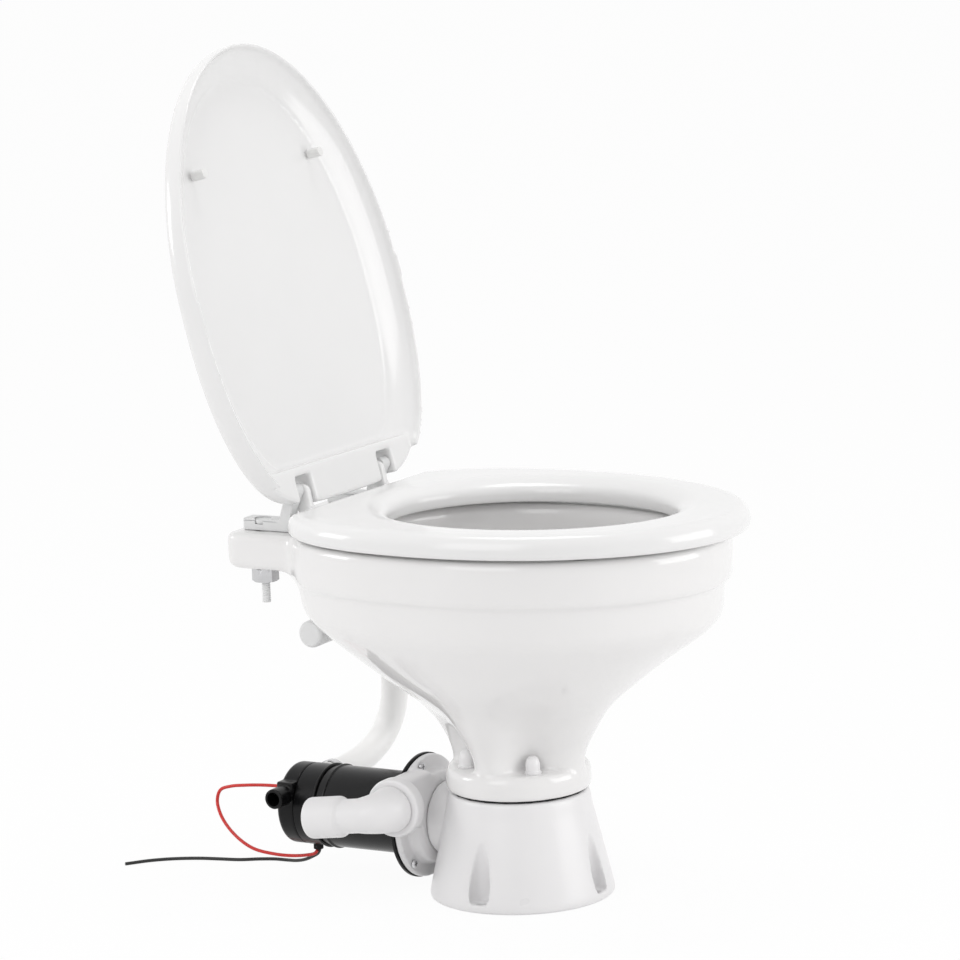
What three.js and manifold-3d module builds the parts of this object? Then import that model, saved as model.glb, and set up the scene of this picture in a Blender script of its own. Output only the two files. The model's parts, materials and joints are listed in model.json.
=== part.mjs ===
// Electric marine toilet: a ceramic bowl on a plastic base, with a hinged seat and lid, and a 12 V
// motor that drives a waste macerator at one end of its shaft and a flush-water pump at the other.
// Millimetres. +Z is up, -Y is the front of the toilet, and the origin is the centre of the base's foot.

import * as THREE from "three";
import { mergeVertices } from "three/addons/utils/BufferGeometryUtils.js";
import Module from "manifold-3d";

const wasm = await Module();
wasm.setup();

// Clearances
const GAP = 0.3;

// Heights above the floor
const BASE_TOP = 97;
const BOWL_FOOT = BASE_TOP + 2;
const RIM_TOP = 336;
const SEAT_UNDERSIDE = 340;
const SEAT_TOP = 362;

// Base
const BASE_FOOT_RADIUS = 84;
const BASE_TOP_RADIUS = 64.5;
const OUTLET_RADIUS = 22;
const FLOOR_BOLT_CIRCLE = 75;
const FLOOR_BOLT_HOLE = 4.5;
const FOOT_THICKNESS = 8;
const WASHER_SEAT = 8.9;

// Bolts that hold the bowl to the base, on the diagonals
const BOWL_BOLT_OFFSET = 34.3;
const BOWL_BOLT_RADIUS = 4;
const BOWL_BOLT_END = 73;
const FLANGE_THICKNESS = 22.5;

// Seat and lid outline, seen from above
const SEAT = { half: 172, front: 226, rear: 200, power: 2.45, cut: 180 };
const LID = { half: 171.5, front: 227.5, rear: 217, power: 2.45, cut: 196 };
const SEAT_OPENING = { half: 115, front: 138, rear: 131, power: 2, centre: -20 };

// Hinges
const HINGE_X = 75;
const PIVOT = { y: 178.3, z: 373.7 };
const LID_OPEN_DEG = 104.85;
const PIN_RADIUS = 2.5;
const KNUCKLE_RADIUS = 6.5;
const HINGE_BOLT_Y = 214;

// Shaft of the motor, along Y
const SHAFT_Z = 63;
const SHAFT_RADIUS = 4;
const MOTOR_RADIUS = 38;
const FLANGE_RADIUS = 57;
const HOUSING_FRONT = 80.3;
const HOUSING_FLANGE = 94;
const HOUSING_REAR = 100.5;
const MOTOR_FLANGE_REAR = 104.5;
const MOTOR_BOSS_REAR = 113;
const CAN_REAR = 197;
const BELL_REAR = 220;
const HEAD_REAR = 240;
const HOUSING_SCREW_RADIUS = 51.2;
const HOUSING_SCREW_DEGREES = [107, 227, 347];

// Discharge collar and elbow, the collar's axis along X
const COLLAR = { y: 92, z: 86, face: -72, back: -58.3, socket: -60.7, radius: 27 };
const ELBOW_TILT_DEG = -7.5;

// Flush pump ports, along X
const PORT = { y: 230.2, z: 78, tip: 55, radius: 9.5, bore: 6.5 };
const HOSE_RADIUS = 13;
const HOSE_BORE = 10.3;

// Flush inlet at the back of the bowl, its cross tube along X
const INLET = { y: 184.5, z: 236, radius: 12.5 };

// Motor leads, and the grommet they come out of
const LEAD_RADIUS = 1.6;
const GROMMET = { x: -5, y: 214.5, bottom: 21 };

// Facets in a full turn
const OUTLINE_POINTS = 36;
const LARGE = 28;
const SMOOTH = 20;
const ROUND = 12;
const SMALL = 10;

const TURN = 2 * Math.PI;

// Solids

function toSolid(geometry) {
  const bare = geometry.clone();
  bare.deleteAttribute("normal");
  bare.deleteAttribute("uv");
  const merged = mergeVertices(bare, 1e-4);
  const position = merged.getAttribute("position");
  const triangles = [];
  let sixVolumes = 0;
  const corners = [new THREE.Vector3(), new THREE.Vector3(), new THREE.Vector3()];
  for (let i = 0; i < merged.index.count; i += 3) {
    const [a, b, c] = [0, 1, 2].map((n) => merged.index.getX(i + n));
    if (a === b || b === c || c === a) continue;
    triangles.push([a, b, c]);
    [a, b, c].forEach((index, n) => corners[n].fromBufferAttribute(position, index));
    sixVolumes += corners[0].dot(corners[1].clone().cross(corners[2]));
  }
  const facing = sixVolumes > 0 ? triangles : triangles.map(([a, b, c]) => [a, c, b]);
  const mesh = new wasm.Mesh({
    numProp: 3,
    vertProperties: new Float32Array(position.array),
    triVerts: new Uint32Array(facing.flat()),
  });
  return new wasm.Manifold(mesh);
}

function toGeometry(solid) {
  const mesh = solid.getMesh();
  const geometry = new THREE.BufferGeometry();
  geometry.setAttribute("position", new THREE.BufferAttribute(mesh.vertProperties, 3));
  geometry.setIndex(new THREE.BufferAttribute(mesh.triVerts, 1));
  geometry.computeVertexNormals();
  return geometry;
}

const join = (...solids) => solids.reduce((whole, solid) => whole.add(solid));
const cut = (whole, ...tools) => tools.reduce((left, tool) => left.subtract(tool), whole);
const common = (one, other) => one.intersect(other);

function box([x0, x1], [y0, y1], [z0, z1]) {
  const geometry = new THREE.BoxGeometry(x1 - x0, y1 - y0, z1 - z0);
  geometry.translate((x0 + x1) / 2, (y0 + y1) / 2, (z0 + z1) / 2);
  return toSolid(geometry);
}

// A closed profile of [radius, distance] turned about an axis through a point.
function turned(profile, axis, [x, y, z], segments = ROUND) {
  const points = profile.map(([r, h]) => new THREE.Vector2(r, h));
  const onAxis = profile[0][0] === 0 && profile.at(-1)[0] === 0;
  if (!onAxis) points.push(points[0].clone());
  const geometry = new THREE.LatheGeometry(points, segments);
  if (axis === "x") geometry.rotateZ(-Math.PI / 2);
  if (axis === "z") geometry.rotateX(Math.PI / 2);
  geometry.translate(x, y, z);
  return toSolid(geometry);
}

// A round bar from one distance to another along an axis; its other two coordinates are given.
function bar(axis, radius, [from, to], [a, b], segments = ROUND) {
  const centre = { x: [0, a, b], y: [a, 0, b], z: [a, b, 0] }[axis];
  return turned([[0, from], [radius, from], [radius, to], [0, to]], axis, centre, segments);
}

// A closed skin through rings of points, each ring with the same count.
function loft(rings) {
  const count = rings[0].length;
  const points = rings.flat();
  const faces = [];
  for (let ring = 0; ring + 1 < rings.length; ring += 1) {
    for (let i = 0; i < count; i += 1) {
      const next = (i + 1) % count;
      const [a, b] = [ring * count + i, ring * count + next];
      faces.push(a, b, b + count, a, b + count, a + count);
    }
  }
  const caps = [rings[0], rings.at(-1)];
  caps.forEach((ring, end) => {
    const middle = new THREE.Vector3();
    ring.forEach((point) => middle.addScaledVector(point, 1 / count));
    const first = end * (rings.length - 1) * count;
    const hub = points.push(middle) - 1;
    for (let i = 0; i < count; i += 1) {
      const [a, b] = [first + i, first + ((i + 1) % count)];
      faces.push(...(end ? [hub, a, b] : [hub, b, a]));
    }
  });
  const geometry = new THREE.BufferGeometry().setFromPoints(points);
  geometry.setIndex(faces);
  return toSolid(geometry);
}

// A flat outline in the YZ plane, extruded along X.
function plate(outline, [x0, x1]) {
  const shape = new THREE.Shape(outline.map(([y, z]) => new THREE.Vector2(y, z)));
  const geometry = new THREE.ExtrudeGeometry(shape, { depth: x1 - x0, bevelEnabled: false });
  geometry.applyMatrix4(new THREE.Matrix4().makeBasis(
    new THREE.Vector3(0, 1, 0),
    new THREE.Vector3(0, 0, 1),
    new THREE.Vector3(1, 0, 0),
  ));
  geometry.translate(x0, 0, 0);
  return toSolid(geometry);
}

const smoothThrough = (points) => new THREE.CatmullRomCurve3(points.map((p) => new THREE.Vector3(...p)));

function circle(radius, sides) {
  return Array.from({ length: sides }, (_, i) => new THREE.Vector2(
    radius * Math.cos((TURN * i) / sides),
    radius * Math.sin((TURN * i) / sides),
  ));
}

// A round tube along a curve, with an optional bore.
function tubeAlong(curve, radius, sides, steps, bore = 0) {
  const section = new THREE.Shape(circle(radius, sides));
  if (bore) section.holes.push(new THREE.Path(circle(bore, sides)));
  return toSolid(new THREE.ExtrudeGeometry(section, { steps, extrudePath: curve, bevelEnabled: false }));
}

// A toilet outline at one height: round at the front, squarer at the back, drawn in by an inset,
// and cut straight across at the back where the shape has a cut.
function outlineAt(z, shape, inset = 0, count = OUTLINE_POINTS) {
  const centre = shape.centre ?? 0;
  return Array.from({ length: count }, (_, i) => {
    const angle = (TURN * i) / count;
    const [c, s] = [Math.cos(angle), Math.sin(angle)];
    const behind = s > 0;
    const power = behind ? shape.power : 2;
    const length = (behind ? shape.rear : shape.front) - inset;
    const half = shape.half - inset;
    let reach = (Math.abs(c / half) ** power + Math.abs(s / length) ** power) ** (-1 / power);
    if (shape.cut && behind) reach = Math.min(reach, (shape.cut - centre - inset) / s);
    return new THREE.Vector3(reach * c, centre + reach * s, z);
  });
}

const stack = (shape, levels, count) => loft(levels.map(([z, inset]) => outlineAt(z, shape, inset, count)));

const fourCorners = [[-1, -1], [1, -1], [-1, 1], [1, 1]];
const bowlBolts = fourCorners.map((signs) => signs.map((sign) => sign * BOWL_BOLT_OFFSET));
const sides = [["left", -1], ["right", 1]];

// Materials

const MATERIALS = {
  ceramic: { color: 0xf3f3f1, roughness: 0.12, metalness: 0 },
  whitePlastic: { color: 0xf1f1ef, roughness: 0.3, metalness: 0 },
  palePlastic: { color: 0xe2e3e2, roughness: 0.45, metalness: 0 },
  hosePlastic: { color: 0xe9ebe9, roughness: 0.4, metalness: 0 },
  blackPlastic: { color: 0x17181a, roughness: 0.38, metalness: 0 },
  blackPaint: { color: 0x111214, roughness: 0.3, metalness: 0.1 },
  rubber: { color: 0x1d1d1e, roughness: 0.85, metalness: 0 },
  paleRubber: { color: 0xd9dad8, roughness: 0.7, metalness: 0 },
  stainless: { color: 0xb9bcbf, roughness: 0.25, metalness: 1 },
  copper: { color: 0xb4683f, roughness: 0.35, metalness: 1 },
  carbon: { color: 0x2b2b2d, roughness: 0.6, metalness: 0.1 },
  ferrite: { color: 0x39393c, roughness: 0.7, metalness: 0.1 },
  laminations: { color: 0x6f7276, roughness: 0.45, metalness: 0.9 },
  bronze: { color: 0xa98247, roughness: 0.4, metalness: 1 },
  blackLead: { color: 0x121212, roughness: 0.5, metalness: 0 },
  redLead: { color: 0xc3201c, roughness: 0.5, metalness: 0 },
};

const toilet = new THREE.Group();

function add(name, solid, material, group = toilet) {
  const mesh = new THREE.Mesh(toGeometry(solid), new THREE.MeshStandardMaterial(MATERIALS[material]));
  mesh.name = name;
  group.add(mesh);
}

// Base

function base() {
  const scallopRadius = 11;
  const scallopTop = 56;
  const sumpFloor = 40;
  const passage = [-19, 19];
  const bossRadius = 33.5;
  const bossRear = HOUSING_FRONT - GAP;
  const body = turned([
    [0, 0],
    [BASE_FOOT_RADIUS, 0],
    [BASE_FOOT_RADIUS, 5],
    [82, 14],
    [73.6, 50],
    [66, 82],
    [BASE_TOP_RADIUS, 92],
    [BASE_TOP_RADIUS - 1.5, BASE_TOP],
    [0, BASE_TOP],
  ], "z", [0, 0, 0], LARGE);
  const boss = bar("y", bossRadius, [20, bossRear], [0, SHAFT_Z], SMOOTH);
  const whole = join(body, boss);
  const fourWays = [[-1, 0], [1, 0], [0, -1], [0, 1]];
  const floorBolts = fourWays.map((way) => way.map((share) => share * FLOOR_BOLT_CIRCLE));
  const washerSeats = floorBolts.map((at) => bar("z", 9, [0, WASHER_SEAT], at));
  const boltHoles = floorBolts.map((at) => bar("z", FLOOR_BOLT_HOLE, [-1, WASHER_SEAT + 1], at, SMALL));
  const pockets = floorBolts.map((at) => bar("z", scallopRadius, [0, at[1] > 0 ? 24 : scallopTop], at));
  const boltSockets = bowlBolts.map((at) =>
    bar("z", BOWL_BOLT_RADIUS + GAP, [BOWL_BOLT_END - 1, BASE_TOP + 1], at, SMALL));
  const sump = box(passage, passage, [sumpFloor - 1, BASE_TOP + 1]);
  const duct = box(passage, [0, bossRear + 1], [sumpFloor - 1, SHAFT_Z + passage[1]]);
  // The base is one moulding, given as three layers so that the collision pieces keep its hollows open.
  const layer = (from, to) => box([-100, 100], [-100, 100], [from, to]);
  const foot = join(layer(-1, FOOT_THICKNESS), ...washerSeats);
  const skirt = layer(FOOT_THICKNESS + GAP, sumpFloor);
  const top = layer(sumpFloor + GAP, BASE_TOP + 1);
  add("base_foot", cut(common(body, foot), ...boltHoles), "whitePlastic");
  add("base_skirt", cut(common(whole, skirt), ...pockets), "whitePlastic");
  add("base", cut(common(whole, top), ...pockets, ...boltSockets, sump, duct), "whitePlastic");
}

function bowlGasket() {
  const ring = turned([
    [OUTLET_RADIUS, BASE_TOP + GAP],
    [61, BASE_TOP + GAP],
    [61, BOWL_FOOT - GAP],
    [OUTLET_RADIUS, BOWL_FOOT - GAP],
  ], "z", [0, 0, 0], SMOOTH);
  const holes = bowlBolts.map((at) => bar("z", BOWL_BOLT_RADIUS + GAP, [BASE_TOP, BOWL_FOOT], at, SMALL));
  add("bowl_gasket", cut(ring, ...holes), "rubber");
}

// Bowl

const FLANGE_TOP = BOWL_FOOT + FLANGE_THICKNESS;
const SEAT_OF_BOLTS = FLANGE_TOP - 1;

// One level of the bowl's outside, hollowed on the diagonals to make room for the bolts.
function bowlRing([z, front, half, rear, power, hollow]) {
  return outlineAt(z, { front, half, rear, power }).map(({ x, y }) => {
    const angle = Math.atan2(y, x);
    const reach = Math.hypot(x, y) - hollow * Math.sin(2 * angle) ** 2;
    return new THREE.Vector3(reach * Math.cos(angle), reach * Math.sin(angle), z);
  });
}

function bowlOuter() {
  // Height, reach to the front, to each side and to the back, squareness of the back, depth of the hollows.
  return loft([
    [FLANGE_TOP - 6, 66, 62, 64, 2, 26],
    [134, 68, 64, 67.5, 2, 26],
    [160, 81, 76, 81, 2, 20],
    [178, 93, 86, 97, 2, 12],
    [204, 123, 108, 121, 2.1, 3],
    [226, 152, 125, 147, 2.2, 0],
    [246, 181, 141, 171, 2.3, 0],
    [256, 193, 148, 181, 2.35, 0],
    [268, 199, 152, 190, 2.4, 0],
    [288, 201, 155, 194, 2.45, 0],
    [298, 207.5, 159.5, 199, 2.45, 0],
    [333, 208.5, 160, 200, 2.45, 0],
    [RIM_TOP, 205.5, 157, 197, 2.45, 0],
  ].map(bowlRing));
}

function bowlFlange() {
  return turned([
    [0, BOWL_FOOT],
    [64.5, BOWL_FOOT],
    [66, BOWL_FOOT + 2],
    [66, FLANGE_TOP - 5],
    [64, FLANGE_TOP - 1.5],
    [60, FLANGE_TOP],
    [0, FLANGE_TOP],
  ], "z", [0, 0, 0], LARGE);
}

function deck() {
  const halfWidth = 100;
  const rear = 243;
  const thickness = 34;
  const corner = 7;
  const bevel = 6;
  const shape = new THREE.Shape();
  const [x1, y1] = [halfWidth - bevel, rear - bevel];
  shape.moveTo(-x1, 90);
  shape.lineTo(x1, 90);
  shape.lineTo(x1, y1 - corner);
  shape.absarc(x1 - corner, y1 - corner, corner, 0, Math.PI / 2);
  shape.absarc(-x1 + corner, y1 - corner, corner, Math.PI / 2, Math.PI);
  const geometry = new THREE.ExtrudeGeometry(shape, {
    depth: thickness - 2 * bevel,
    bevelThickness: bevel,
    bevelSize: bevel,
    bevelSegments: 3,
    curveSegments: 5,
  });
  geometry.translate(0, 0, RIM_TOP - thickness + bevel);
  return toSolid(geometry);
}

const DECK_UNDERSIDE = RIM_TOP - 34;

function bowlInside() {
  const levels = [
    [BOWL_FOOT - 1, 22, 22, 22, 2],
    [118, 22, 22, 22, 2],
    [138, 30, 30, 30, 2],
    [160, 46, 46, 46, 2],
    [180, 69, 66, 67, 2],
    [208, 112, 97, 103, 2.1],
    [246, 169, 129, 135, 2.3],
    [260, 184, 137, 141, 2.4],
    [300, 194, 144, 142, 2.45],
  ];
  return loft(levels.map(([z, front, half, rear, power]) => outlineAt(z, { front, half, rear, power })));
}

const RIM_OPENING = { front: 176, half: 124, rear: 128, power: 2.2 };

// The flush water runs round the bowl behind a hanging lip, open underneath.
function rimChannel() {
  const lip = { front: 184, half: 132, rear: 134, power: 2.2 };
  const wall = { front: 194, half: 144, rear: 144, power: 2.4 };
  const ring = cut(stack(wall, [[298, 0], [323, 0]]), stack(lip, [[297, 0], [324, 0]]));
  const duct = box([-8, 8], [135, 166], [306, 321]);
  return join(ring, duct);
}

function bowl() {
  const spud = bar("y", 18, [120, INLET.y - INLET.radius - 3], [0, INLET.z], SMOOTH);
  const spudBore = bar("y", 12, [152, INLET.y], [0, INLET.z]);
  const riser = bar("z", 8, [INLET.z, 318], [0, 158]);
  const hingeHoles = sides.map(([, sign]) =>
    bar("z", 4.6, [DECK_UNDERSIDE - 1, RIM_TOP + 1], [sign * HINGE_X, HINGE_BOLT_Y], SMALL));
  const spotFaceRadius = 9.5;
  const boltHoles = bowlBolts.flatMap((at) => [
    bar("z", BOWL_BOLT_RADIUS + GAP, [BOWL_FOOT - 1, FLANGE_TOP + 1], at, SMALL),
    bar("z", spotFaceRadius, [SEAT_OF_BOLTS, FLANGE_TOP + 8], at),
  ]);
  const opening = stack(RIM_OPENING, [[299, 0], [330, 0], [RIM_TOP + 0.5, -5]]);
  const outside = join(bowlOuter(), bowlFlange(), deck(), spud);
  const hollows = [bowlInside(), opening, rimChannel(), spudBore, riser, ...hingeHoles, ...boltHoles];
  add("bowl", cut(outside, ...hollows), "ceramic");
}

function bowlFixings() {
  const seat = SEAT_OF_BOLTS + GAP;
  bowlBolts.forEach(([x, y], i) => {
    const bolt = turned([
      [0, BOWL_BOLT_END],
      [BOWL_BOLT_RADIUS, BOWL_BOLT_END],
      [BOWL_BOLT_RADIUS, seat],
      [7.8, seat],
      [7.8, seat + 3],
      [6.8, seat + 4],
      [6.6, seat + 10],
      [4.9, seat + 14.5],
      [0, seat + 16.5],
    ], "z", [x, y, 0]);
    add(`bowl_bolt_${i + 1}`, bolt, "whitePlastic");
  });
}

// Seat, lid and hinges

const EAR = [60.6, 69.4];
const EAR_RADIUS = 9.5;
const EAR_CENTRE = { y: 178, z: 369.5 };
const POST = [70, 82];
const NOTCH = [57.5, 82.6];

const mirrored = ([from, to], sign) => (sign > 0 ? [from, to] : [-to, -from]);

function knuckle(range) {
  return bar("x", KNUCKLE_RADIUS, range, [PIVOT.y, PIVOT.z]);
}

function hinges() {
  const padTop = RIM_TOP + 11;
  const headSeat = padTop - 5;
  sides.forEach(([side, sign]) => {
    const at = [sign * HINGE_X, HINGE_BOLT_Y];
    const pad = box(mirrored([63, 82], sign), [180.8, 232], [RIM_TOP + GAP, padTop]);
    const post = plate([
      [182.4, padTop - 4],
      [194, padTop - 4],
      [188, 362],
      [184.2, 371],
      [PIVOT.y, PIVOT.z],
      [173.4, 369.4],
      [177.6, 360],
    ], mirrored(POST, sign));
    const pinHole = bar("x", PIN_RADIUS + GAP, mirrored([50, 95], sign), [PIVOT.y, PIVOT.z], SMALL);
    const counterbore = bar("z", 8, [headSeat, padTop + 1], at);
    const hole = bar("z", 4.6, [RIM_TOP, padTop], at, SMALL);
    const block = cut(join(pad, post, knuckle(mirrored(POST, sign))), pinHole, counterbore, hole);
    add(`hinge_block_${side}`, block, "palePlastic");
    const pin = bar("x", PIN_RADIUS, mirrored([54, 88.5], sign), [PIVOT.y, PIVOT.z], SMALL);
    add(`hinge_pin_${side}`, pin, "stainless");
    const bolt = join(
      bar("z", 7.2, [headSeat + GAP, padTop - 1], at),
      bar("z", 4, [269, headSeat + 1], at, SMALL),
    );
    add(`hinge_bolt_${side}`, bolt, "whitePlastic");
    const nut = cut(
      bar("z", 12.5, [DECK_UNDERSIDE - GAP - 13, DECK_UNDERSIDE - GAP], at, 6),
      bar("z", 4.3, [270, DECK_UNDERSIDE], at, SMALL),
    );
    add(`hinge_nut_${side}`, nut, "stainless");
  });
}

function seat() {
  const ring = stack(SEAT, [
    [SEAT_UNDERSIDE, 4],
    [344, 0],
    [351, 0],
    [356, 2.3],
    [360.6, 6.5],
    [SEAT_TOP, 15],
  ]);
  const opening = stack(SEAT_OPENING, [
    [SEAT_UNDERSIDE - 1, -1.5],
    [343, 0],
    [351, 0],
    [357, -5.5],
    [361, -15],
    [SEAT_TOP + 0.4, -27],
  ], LARGE);
  // The back of the seat slopes down so that the open lid can stand over it.
  const slope = plate([[150, SEAT_TOP + 0.4], [185, 346.5], [190, 370], [150, 370]], [-110, 110]);
  const ears = sides.map(([, sign]) => join(
    bar("x", EAR_RADIUS, mirrored(EAR, sign), [EAR_CENTRE.y, EAR_CENTRE.z]),
    plate([[166, 348], [178, 348], [187, EAR_CENTRE.z], [169, EAR_CENTRE.z]], mirrored(EAR, sign)),
  ));
  const pinHoles = sides.map(([, sign]) =>
    bar("x", PIN_RADIUS + GAP, mirrored([50, 95], sign), [PIVOT.y, PIVOT.z], SMALL));
  add("seat", cut(join(cut(ring, opening, slope), ...ears), ...pinHoles), "whitePlastic");
  [[-1, -130], [1, -130], [-1, 95], [1, 95]].forEach(([x, y], i) => {
    const at = [x * (y < 0 ? 106 : 134), y];
    add(`seat_bumper_${i + 1}`, bar("z", 8, [RIM_TOP + 0.6, SEAT_UNDERSIDE - GAP], at, SMALL), "paleRubber");
  });
}

const LID_RIM = 356;
const LID_FLOOR = 378;
const LID_THICKNESS = { front: 21, rear: 33 };

// A level of the lid's outside, at a share of the thickness, which grows towards the hinge.
function lidLevel(share, inset) {
  const { front, rear } = LID_THICKNESS;
  return outlineAt(0, LID, inset).map(({ x, y }) => {
    const along = (y + LID.front) / (LID.front + LID.cut);
    return new THREE.Vector3(x, y, LID_RIM + share * THREE.MathUtils.lerp(front, rear, along));
  });
}

function lid() {
  const open = new THREE.Group();
  open.position.set(0, PIVOT.y, PIVOT.z);
  open.rotation.x = -THREE.MathUtils.degToRad(LID_OPEN_DEG);
  const closed = new THREE.Group();
  closed.position.set(0, -PIVOT.y, -PIVOT.z);
  open.add(closed);
  toilet.add(open);

  const shell = loft([
    lidLevel(0, 0),
    lidLevel(0.56, 0),
    lidLevel(0.8, 1.8),
    lidLevel(0.93, 6),
    lidLevel(1, 16),
    lidLevel(1.1, 50),
    lidLevel(1.14, 90),
  ]);
  const tray = stack(LID, [
    [LID_RIM - 1, 0.4],
    [LID_RIM + 2, 3],
    [362, 4],
    [368, 11],
    [373, 24],
    [LID_FLOOR, 60],
  ]);
  // Behind the tray the underside stays high enough to pass over the back of the seat.
  const ledgeUnderside = 364;
  const behind = LID.cut + 5;
  const overSeat = box([-120, 120], [150, behind], [LID_RIM - 1, ledgeUnderside]);
  const ledge = box([-120, 120], [158, behind], [ledgeUnderside, LID_FLOOR + 1]);
  const hollow = join(cut(tray, ledge), overSeat);
  const whole = cut(shell, hollow);
  const lugFront = PIVOT.y - 12;
  const lugStrip = (xs, from) => box(xs, [from, behind], [LID_RIM - 1, LID_RIM + 50]);
  add("lid", cut(whole, lugStrip([-LID.half, LID.half], lugFront - GAP)), "whitePlastic", closed);
  // The lugs of the hinge edge leave a notch on each side for the seat's ear and the hinge post.
  const pinHoles = sides.map(([, sign]) =>
    bar("x", PIN_RADIUS + GAP, mirrored([53.7, 88.8], sign), [PIVOT.y, PIVOT.z], SMALL));
  const lug = (name, xs) =>
    add(name, cut(common(whole, lugStrip(xs, lugFront)), ...pinHoles), "whitePlastic", closed);
  lug("lid_lug_left", [-LID.half, -NOTCH[1]]);
  lug("lid_lug_middle", [-NOTCH[0], NOTCH[0]]);
  lug("lid_lug_right", [NOTCH[1], LID.half]);
  sides.forEach(([side, sign]) => {
    const bumper = bar("z", 4.5, [SEAT_TOP + GAP, 374.5], [sign * 98, -117], SMALL);
    add(`lid_bumper_${side}`, bumper, "paleRubber", closed);
  });
}

// Flush water inlet at the back of the bowl, and the hose up to it from the pump

const TEE_END = 50;
const TEE_SHOULDER = 28;
const CAP_FACE = -39;

function inlet() {
  const across = [INLET.y, INLET.z];
  const stemFront = 155;
  const tee = cut(
    join(
      bar("x", INLET.radius, [CAP_FACE + GAP, TEE_SHOULDER], across, ROUND),
      bar("x", PORT.radius, [TEE_SHOULDER - 1, TEE_END], across),
      bar("y", 9.5, [stemFront, INLET.y], [0, INLET.z]),
    ),
    bar("x", PORT.bore, [CAP_FACE, TEE_END + 1], across),
    bar("y", PORT.bore, [stemFront - 1, INLET.y], [0, INLET.z]),
  );
  add("inlet_tee", tee, "palePlastic");
  const cap = turned([
    [0, CAP_FACE - 13],
    [11, CAP_FACE - 13],
    [12.8, CAP_FACE - 11],
    [12.8, CAP_FACE],
    [PORT.bore - GAP, CAP_FACE],
    [PORT.bore - GAP, CAP_FACE + 10],
    [0, CAP_FACE + 10],
  ], "x", [0, ...across], ROUND);
  add("inlet_cap", cap, "palePlastic");
  const seal = turned([
    [9.8, 158],
    [11.7, 158],
    [11.7, 169],
    [9.8, 169],
  ], "y", [0, 0, INLET.z]);
  add("inlet_seal", seal, "rubber");
}

const HOSE_START = [PORT.tip - 14, PORT.y, PORT.z];
const HOSE_END = [TEE_SHOULDER + 2, INLET.y, INLET.z];

function flushHose() {
  const straight = 20;
  const [start, end] = [new THREE.Vector3(...HOSE_START), new THREE.Vector3(...HOSE_END)];
  const further = (point, distance) => point.clone().add(new THREE.Vector3(distance, 0, 0));
  const bend = new THREE.CubicBezierCurve3(
    further(start, straight),
    further(start, straight + 176),
    further(end, straight + 28),
    further(end, straight),
  );
  const route = new THREE.CatmullRomCurve3([start, ...bend.getPoints(10), end]);
  const hose = tubeAlong(route, HOSE_RADIUS, 12, 16, HOSE_BORE);
  add("flush_hose", hose, "hosePlastic");
  const clamps = [["lower", HOSE_START, 8], ["upper", HOSE_END, 8]];
  clamps.forEach(([name, [x, y, z], along]) => {
    const band = turned([
      [HOSE_RADIUS + 0.7, 0],
      [HOSE_RADIUS + 1.7, 0],
      [HOSE_RADIUS + 1.7, 8],
      [HOSE_RADIUS + 0.7, 8],
    ], "x", [x + along - 4, y, z]);
    const screw = bar("z", 3.4, [z - 7, z + 7], [x + along, y + HOSE_RADIUS + 4.2], SMALL);
    add(`hose_clamp_${name}`, join(band, screw), "stainless");
  });
}

// Macerator housing, with the waste pump inside

const onShaft = [0, SHAFT_Z];

function screwPlaces() {
  return HOUSING_SCREW_DEGREES.map((degrees) => {
    const angle = THREE.MathUtils.degToRad(degrees);
    return [
      HOUSING_SCREW_RADIUS * Math.cos(angle),
      SHAFT_Z + HOUSING_SCREW_RADIUS * Math.sin(angle),
    ];
  });
}

function maceratorHousing() {
  const dome = turned([
    [0, HOUSING_FRONT],
    [38, HOUSING_FRONT],
    [41, HOUSING_FRONT + 3],
    [44, HOUSING_FLANGE],
    [FLANGE_RADIUS - 1, HOUSING_FLANGE],
    [FLANGE_RADIUS, HOUSING_FLANGE + 1],
    [FLANGE_RADIUS, HOUSING_REAR],
    [0, HOUSING_REAR],
  ], "y", [0, 0, SHAFT_Z], LARGE);
  const eye = bar("y", 20, [HOUSING_FRONT - 1, HOUSING_REAR], onShaft, SMOOTH);
  const chamber = bar("y", 36, [HOUSING_FRONT + 4.5, HOUSING_REAR + 1], onShaft, SMOOTH);
  const collarAxis = [COLLAR.y, COLLAR.z];
  const root = common(
    bar("x", COLLAR.radius - 1, [COLLAR.back - 1, -12], collarAxis, SMOOTH),
    box([-62, 0], [HOUSING_FRONT, HOUSING_REAR], [20, 130]),
  );
  const collar = bar("x", COLLAR.radius, [COLLAR.face, COLLAR.back], collarAxis, SMOOTH);
  const socket = bar("x", 15.6, [COLLAR.face - 1, COLLAR.socket], collarAxis, SMOOTH);
  const outlet = bar("x", 8, [COLLAR.socket - 1, -8], [COLLAR.y - 1, COLLAR.z]);
  const screwHoles = screwPlaces().map((at) =>
    bar("y", 2.8, [HOUSING_FLANGE - 8, HOUSING_REAR + 1], at, SMALL));
  const screwSeats = screwPlaces().map((at) =>
    bar("y", 5.5, [HOUSING_FLANGE - 20, HOUSING_FLANGE], at, SMALL));
  const housing = cut(join(dome, root, collar), eye, chamber, socket, outlet, ...screwHoles, ...screwSeats);
  add("macerator_housing", housing, "whitePlastic");
  screwPlaces().forEach((at, i) => {
    const screw = join(
      bar("y", 4, [HOUSING_FLANGE - 3, HOUSING_FLANGE - GAP], at, SMALL),
      bar("y", 2.5, [HOUSING_FLANGE - 1, MOTOR_FLANGE_REAR + 3], at, SMALL),
    );
    add(`housing_screw_${i + 1}`, screw, "stainless");
  });
}

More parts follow.
